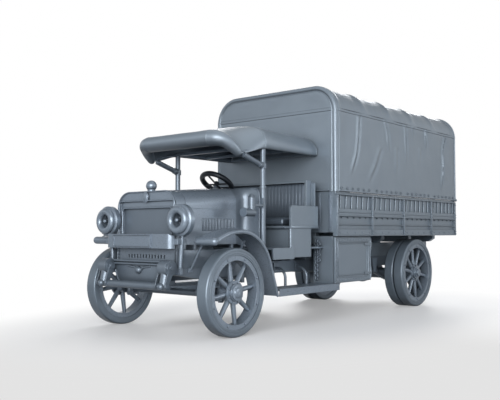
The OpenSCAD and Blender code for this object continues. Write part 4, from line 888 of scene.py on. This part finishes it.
# Locker doors: mouldings round the panel and the edge, with a row of screws between
door_x = 996
door_y0, door_y1, door_z0, door_z1 = bed_y0 + 4, bed_y0 + 894, 474, bed_z0 - 10
screw_in = 37


def door_frame(x, inset, radius):
    """A moulding round the door, a distance in from its edge."""
    y0, y1, z0, z1 = door_y0 + inset, door_y1 - inset, door_z0 + inset, door_z1 - inset
    line = [mm(x, y0, z0), mm(x, y1, z0), mm(x, y1, z1), mm(x, y0, z1)]
    return rod("door_bead", line, radius, ring=True)


row_y = steps(door_y0 + 40, door_y1 - 39, 12)
row_z = steps(door_z0 + 90, door_z1 - 80, 6)
screws = [(y, z) for z in (door_z0 + screw_in, door_z1 - screw_in) for y in row_y]
screws += [(y, z) for y in (door_y0 + screw_in, door_y1 - screw_in) for z in row_z]
for side, s in sides:
    body = f"locker_door_{side}"
    frames = ((door_x - 1, 64, 9), (door_x - 6, 92, 7), (door_x - 1, 12, 8))
    beads = [door_frame(s * x, inset, radius) for x, inset, radius in frames]
    finished(joined(f"locker_mouldings_{side}", beads), painted_timber, body)
    spots = [(mm(s * door_x, y, z), (s, 0, 0)) for y, z in screws]
    heads(f"locker_screws_{side}", 9, 7, spots, painted_steel, body)

# Studio: pale floor that fades into the white surround, large soft lamps
floor_paint = bpy.data.materials.new("pale_studio_floor")
floor_paint.use_nodes = True
ft = floor_paint.node_tree
ft.nodes.clear()
where = node(ft, "ShaderNodeTexCoord").outputs["Object"]
beside = node(ft, "ShaderNodeMapping", Vector=where, Scale=(1 / 2.0, 1 / 3.2, 1))
off = node(ft, "ShaderNodeVectorMath", {"operation": "LENGTH"}, i0=beside.outputs["Vector"])
# Seen by the camera, the floor blends its real shading with a glow: a quarter glow near the truck, painted
# light that lightens its shadow there, and all glow further out
fade = node(ft, "ShaderNodeMapRange", {"interpolation_type": "SMOOTHSTEP"}, Value=off.outputs["Value"],
            From_Min=0.85, From_Max=1.65, To_Min=0.26, To_Max=1.0)
# Painted shade: that glow is dimmed to 0.77 in a pool round a point in front of the truck
pool = node(ft, "ShaderNodeMapping", Vector=where, Location=(-2.6, 4.0, 0))
away = node(ft, "ShaderNodeVectorMath", {"operation": "LENGTH"}, i0=pool.outputs["Vector"])
pale = node(ft, "ShaderNodeMapRange", {"interpolation_type": "SMOOTHSTEP"}, Value=away.outputs["Value"],
            From_Min=2.4, From_Max=5.5, To_Min=0.77, To_Max=1.0)
seen = node(ft, "ShaderNodeLightPath")
share = node(ft, "ShaderNodeMath", {"operation": "MULTIPLY"}, i0=fade.outputs["Result"],
             i1=seen.outputs["Is Camera Ray"])
# The floor is dark to bounced light, which deepens the shade on the truck's undersides
tone = node(ft, "ShaderNodeMix", {"data_type": "RGBA"}, i0=seen.outputs["Is Diffuse Ray"],
            i6=linear("#f4f5f7"), i7=linear("#50565e"))
matt = node(ft, "ShaderNodeBsdfPrincipled", Base_Color=tone.outputs[2], Roughness=0.5)
glow = node(ft, "ShaderNodeEmission", Color=(1, 1, 1, 1), Strength=pale.outputs["Result"])
floor_mix = node(ft, "ShaderNodeMixShader", i0=share.outputs["Value"], i1=matt.outputs["BSDF"],
                 i2=glow.outputs["Emission"])
floor_out = node(ft, "ShaderNodeOutputMaterial")
ft.links.new(floor_mix.outputs["Shader"], floor_out.inputs["Surface"])
bpy.ops.object.select_all(action="DESELECT")
bpy.ops.mesh.primitive_plane_add(size=160, location=(0, 0, 0))
floor = bpy.context.object
floor.name = "studio_floor"
floor.data.materials.append(floor_paint)

world = bpy.data.worlds.new("studio_surround")
world.use_nodes = True
scene.world = world
wt = world.node_tree
wt.nodes.clear()
path = node(wt, "ShaderNodeLightPath")
ray = node(wt, "ShaderNodeTexCoord").outputs["Generated"]
height = node(wt, "ShaderNodeSeparateXYZ", Vector=ray).outputs["Z"]
glow_level = node(wt, "ShaderNodeMapRange", {"interpolation_type": "SMOOTHSTEP"}, Value=height,
                  From_Min=0.30, From_Max=0.75, To_Min=1.0, To_Max=0.15)
fill = node(wt, "ShaderNodeBackground", Color=linear("#dfe7f0"), Strength=0.22)
white = node(wt, "ShaderNodeBackground", Color=(1, 1, 1, 1), Strength=glow_level.outputs["Result"])
mirrored = node(wt, "ShaderNodeMath", {"operation": "MAXIMUM"}, i0=path.outputs["Is Glossy Ray"],
                i1=path.outputs["Is Transmission Ray"])
shown = node(wt, "ShaderNodeMath", {"operation": "MAXIMUM"}, i0=path.outputs["Is Camera Ray"],
             i1=mirrored.outputs["Value"])
surround = node(wt, "ShaderNodeMixShader", i0=shown.outputs["Value"], i1=fill.outputs["Background"],
                i2=white.outputs["Background"])
sky = node(wt, "ShaderNodeOutputWorld")
wt.links.new(surround.outputs["Shader"], sky.inputs["Surface"])


def lamp(name, place, aim, size, power):
    light = bpy.data.lights.new(name, "AREA")
    light.shape = "RECTANGLE"
    light.size, light.size_y = size
    light.energy = power
    o = bpy.data.objects.new(name, light)
    scene.collection.objects.link(o)
    o.location = place
    o.rotation_euler = (Vector(aim) - Vector(place)).to_track_quat("-Z", "Y").to_euler()
    return o


lamp("overhead_softbox", (0.5, 0.0, 9.0), (0, 0, 1), (7, 10), 165)
lamp("front_softbox", (6.0, -10.0, 3.2), (0, -0.3, 1.3), (9, 4.6), 1350)
lamp("left_strip", (9.0, 3.5, 2.6), (0, 1.5, 1.6), (2.5, 4), 140)
lamp("rear_right_softbox", (-6.0, 10.0, 6.5), (0, 0.5, 1.3), (8, 4), 850)

# Camera: low, a little below the bonnet line, ahead of the left front wheel
yaw, pitch = math.radians(39.694), math.radians(2.625)
forward = Vector((-math.sin(yaw) * math.cos(pitch), math.cos(yaw) * math.cos(pitch), math.sin(pitch)))
eye = bpy.data.cameras.new("camera")
focal_px, picture_px = 708.4, 500
eye.sensor_width = 36
eye.lens = focal_px / picture_px * eye.sensor_width
eye.clip_end = 300
camera = bpy.data.objects.new("camera", eye)
scene.collection.objects.link(camera)
camera.location = (5.916, -8.1855, 1.116)
camera.rotation_euler = forward.to_track_quat("-Z", "Y").to_euler()
scene.camera = camera
scene.view_settings.view_transform = "Standard"
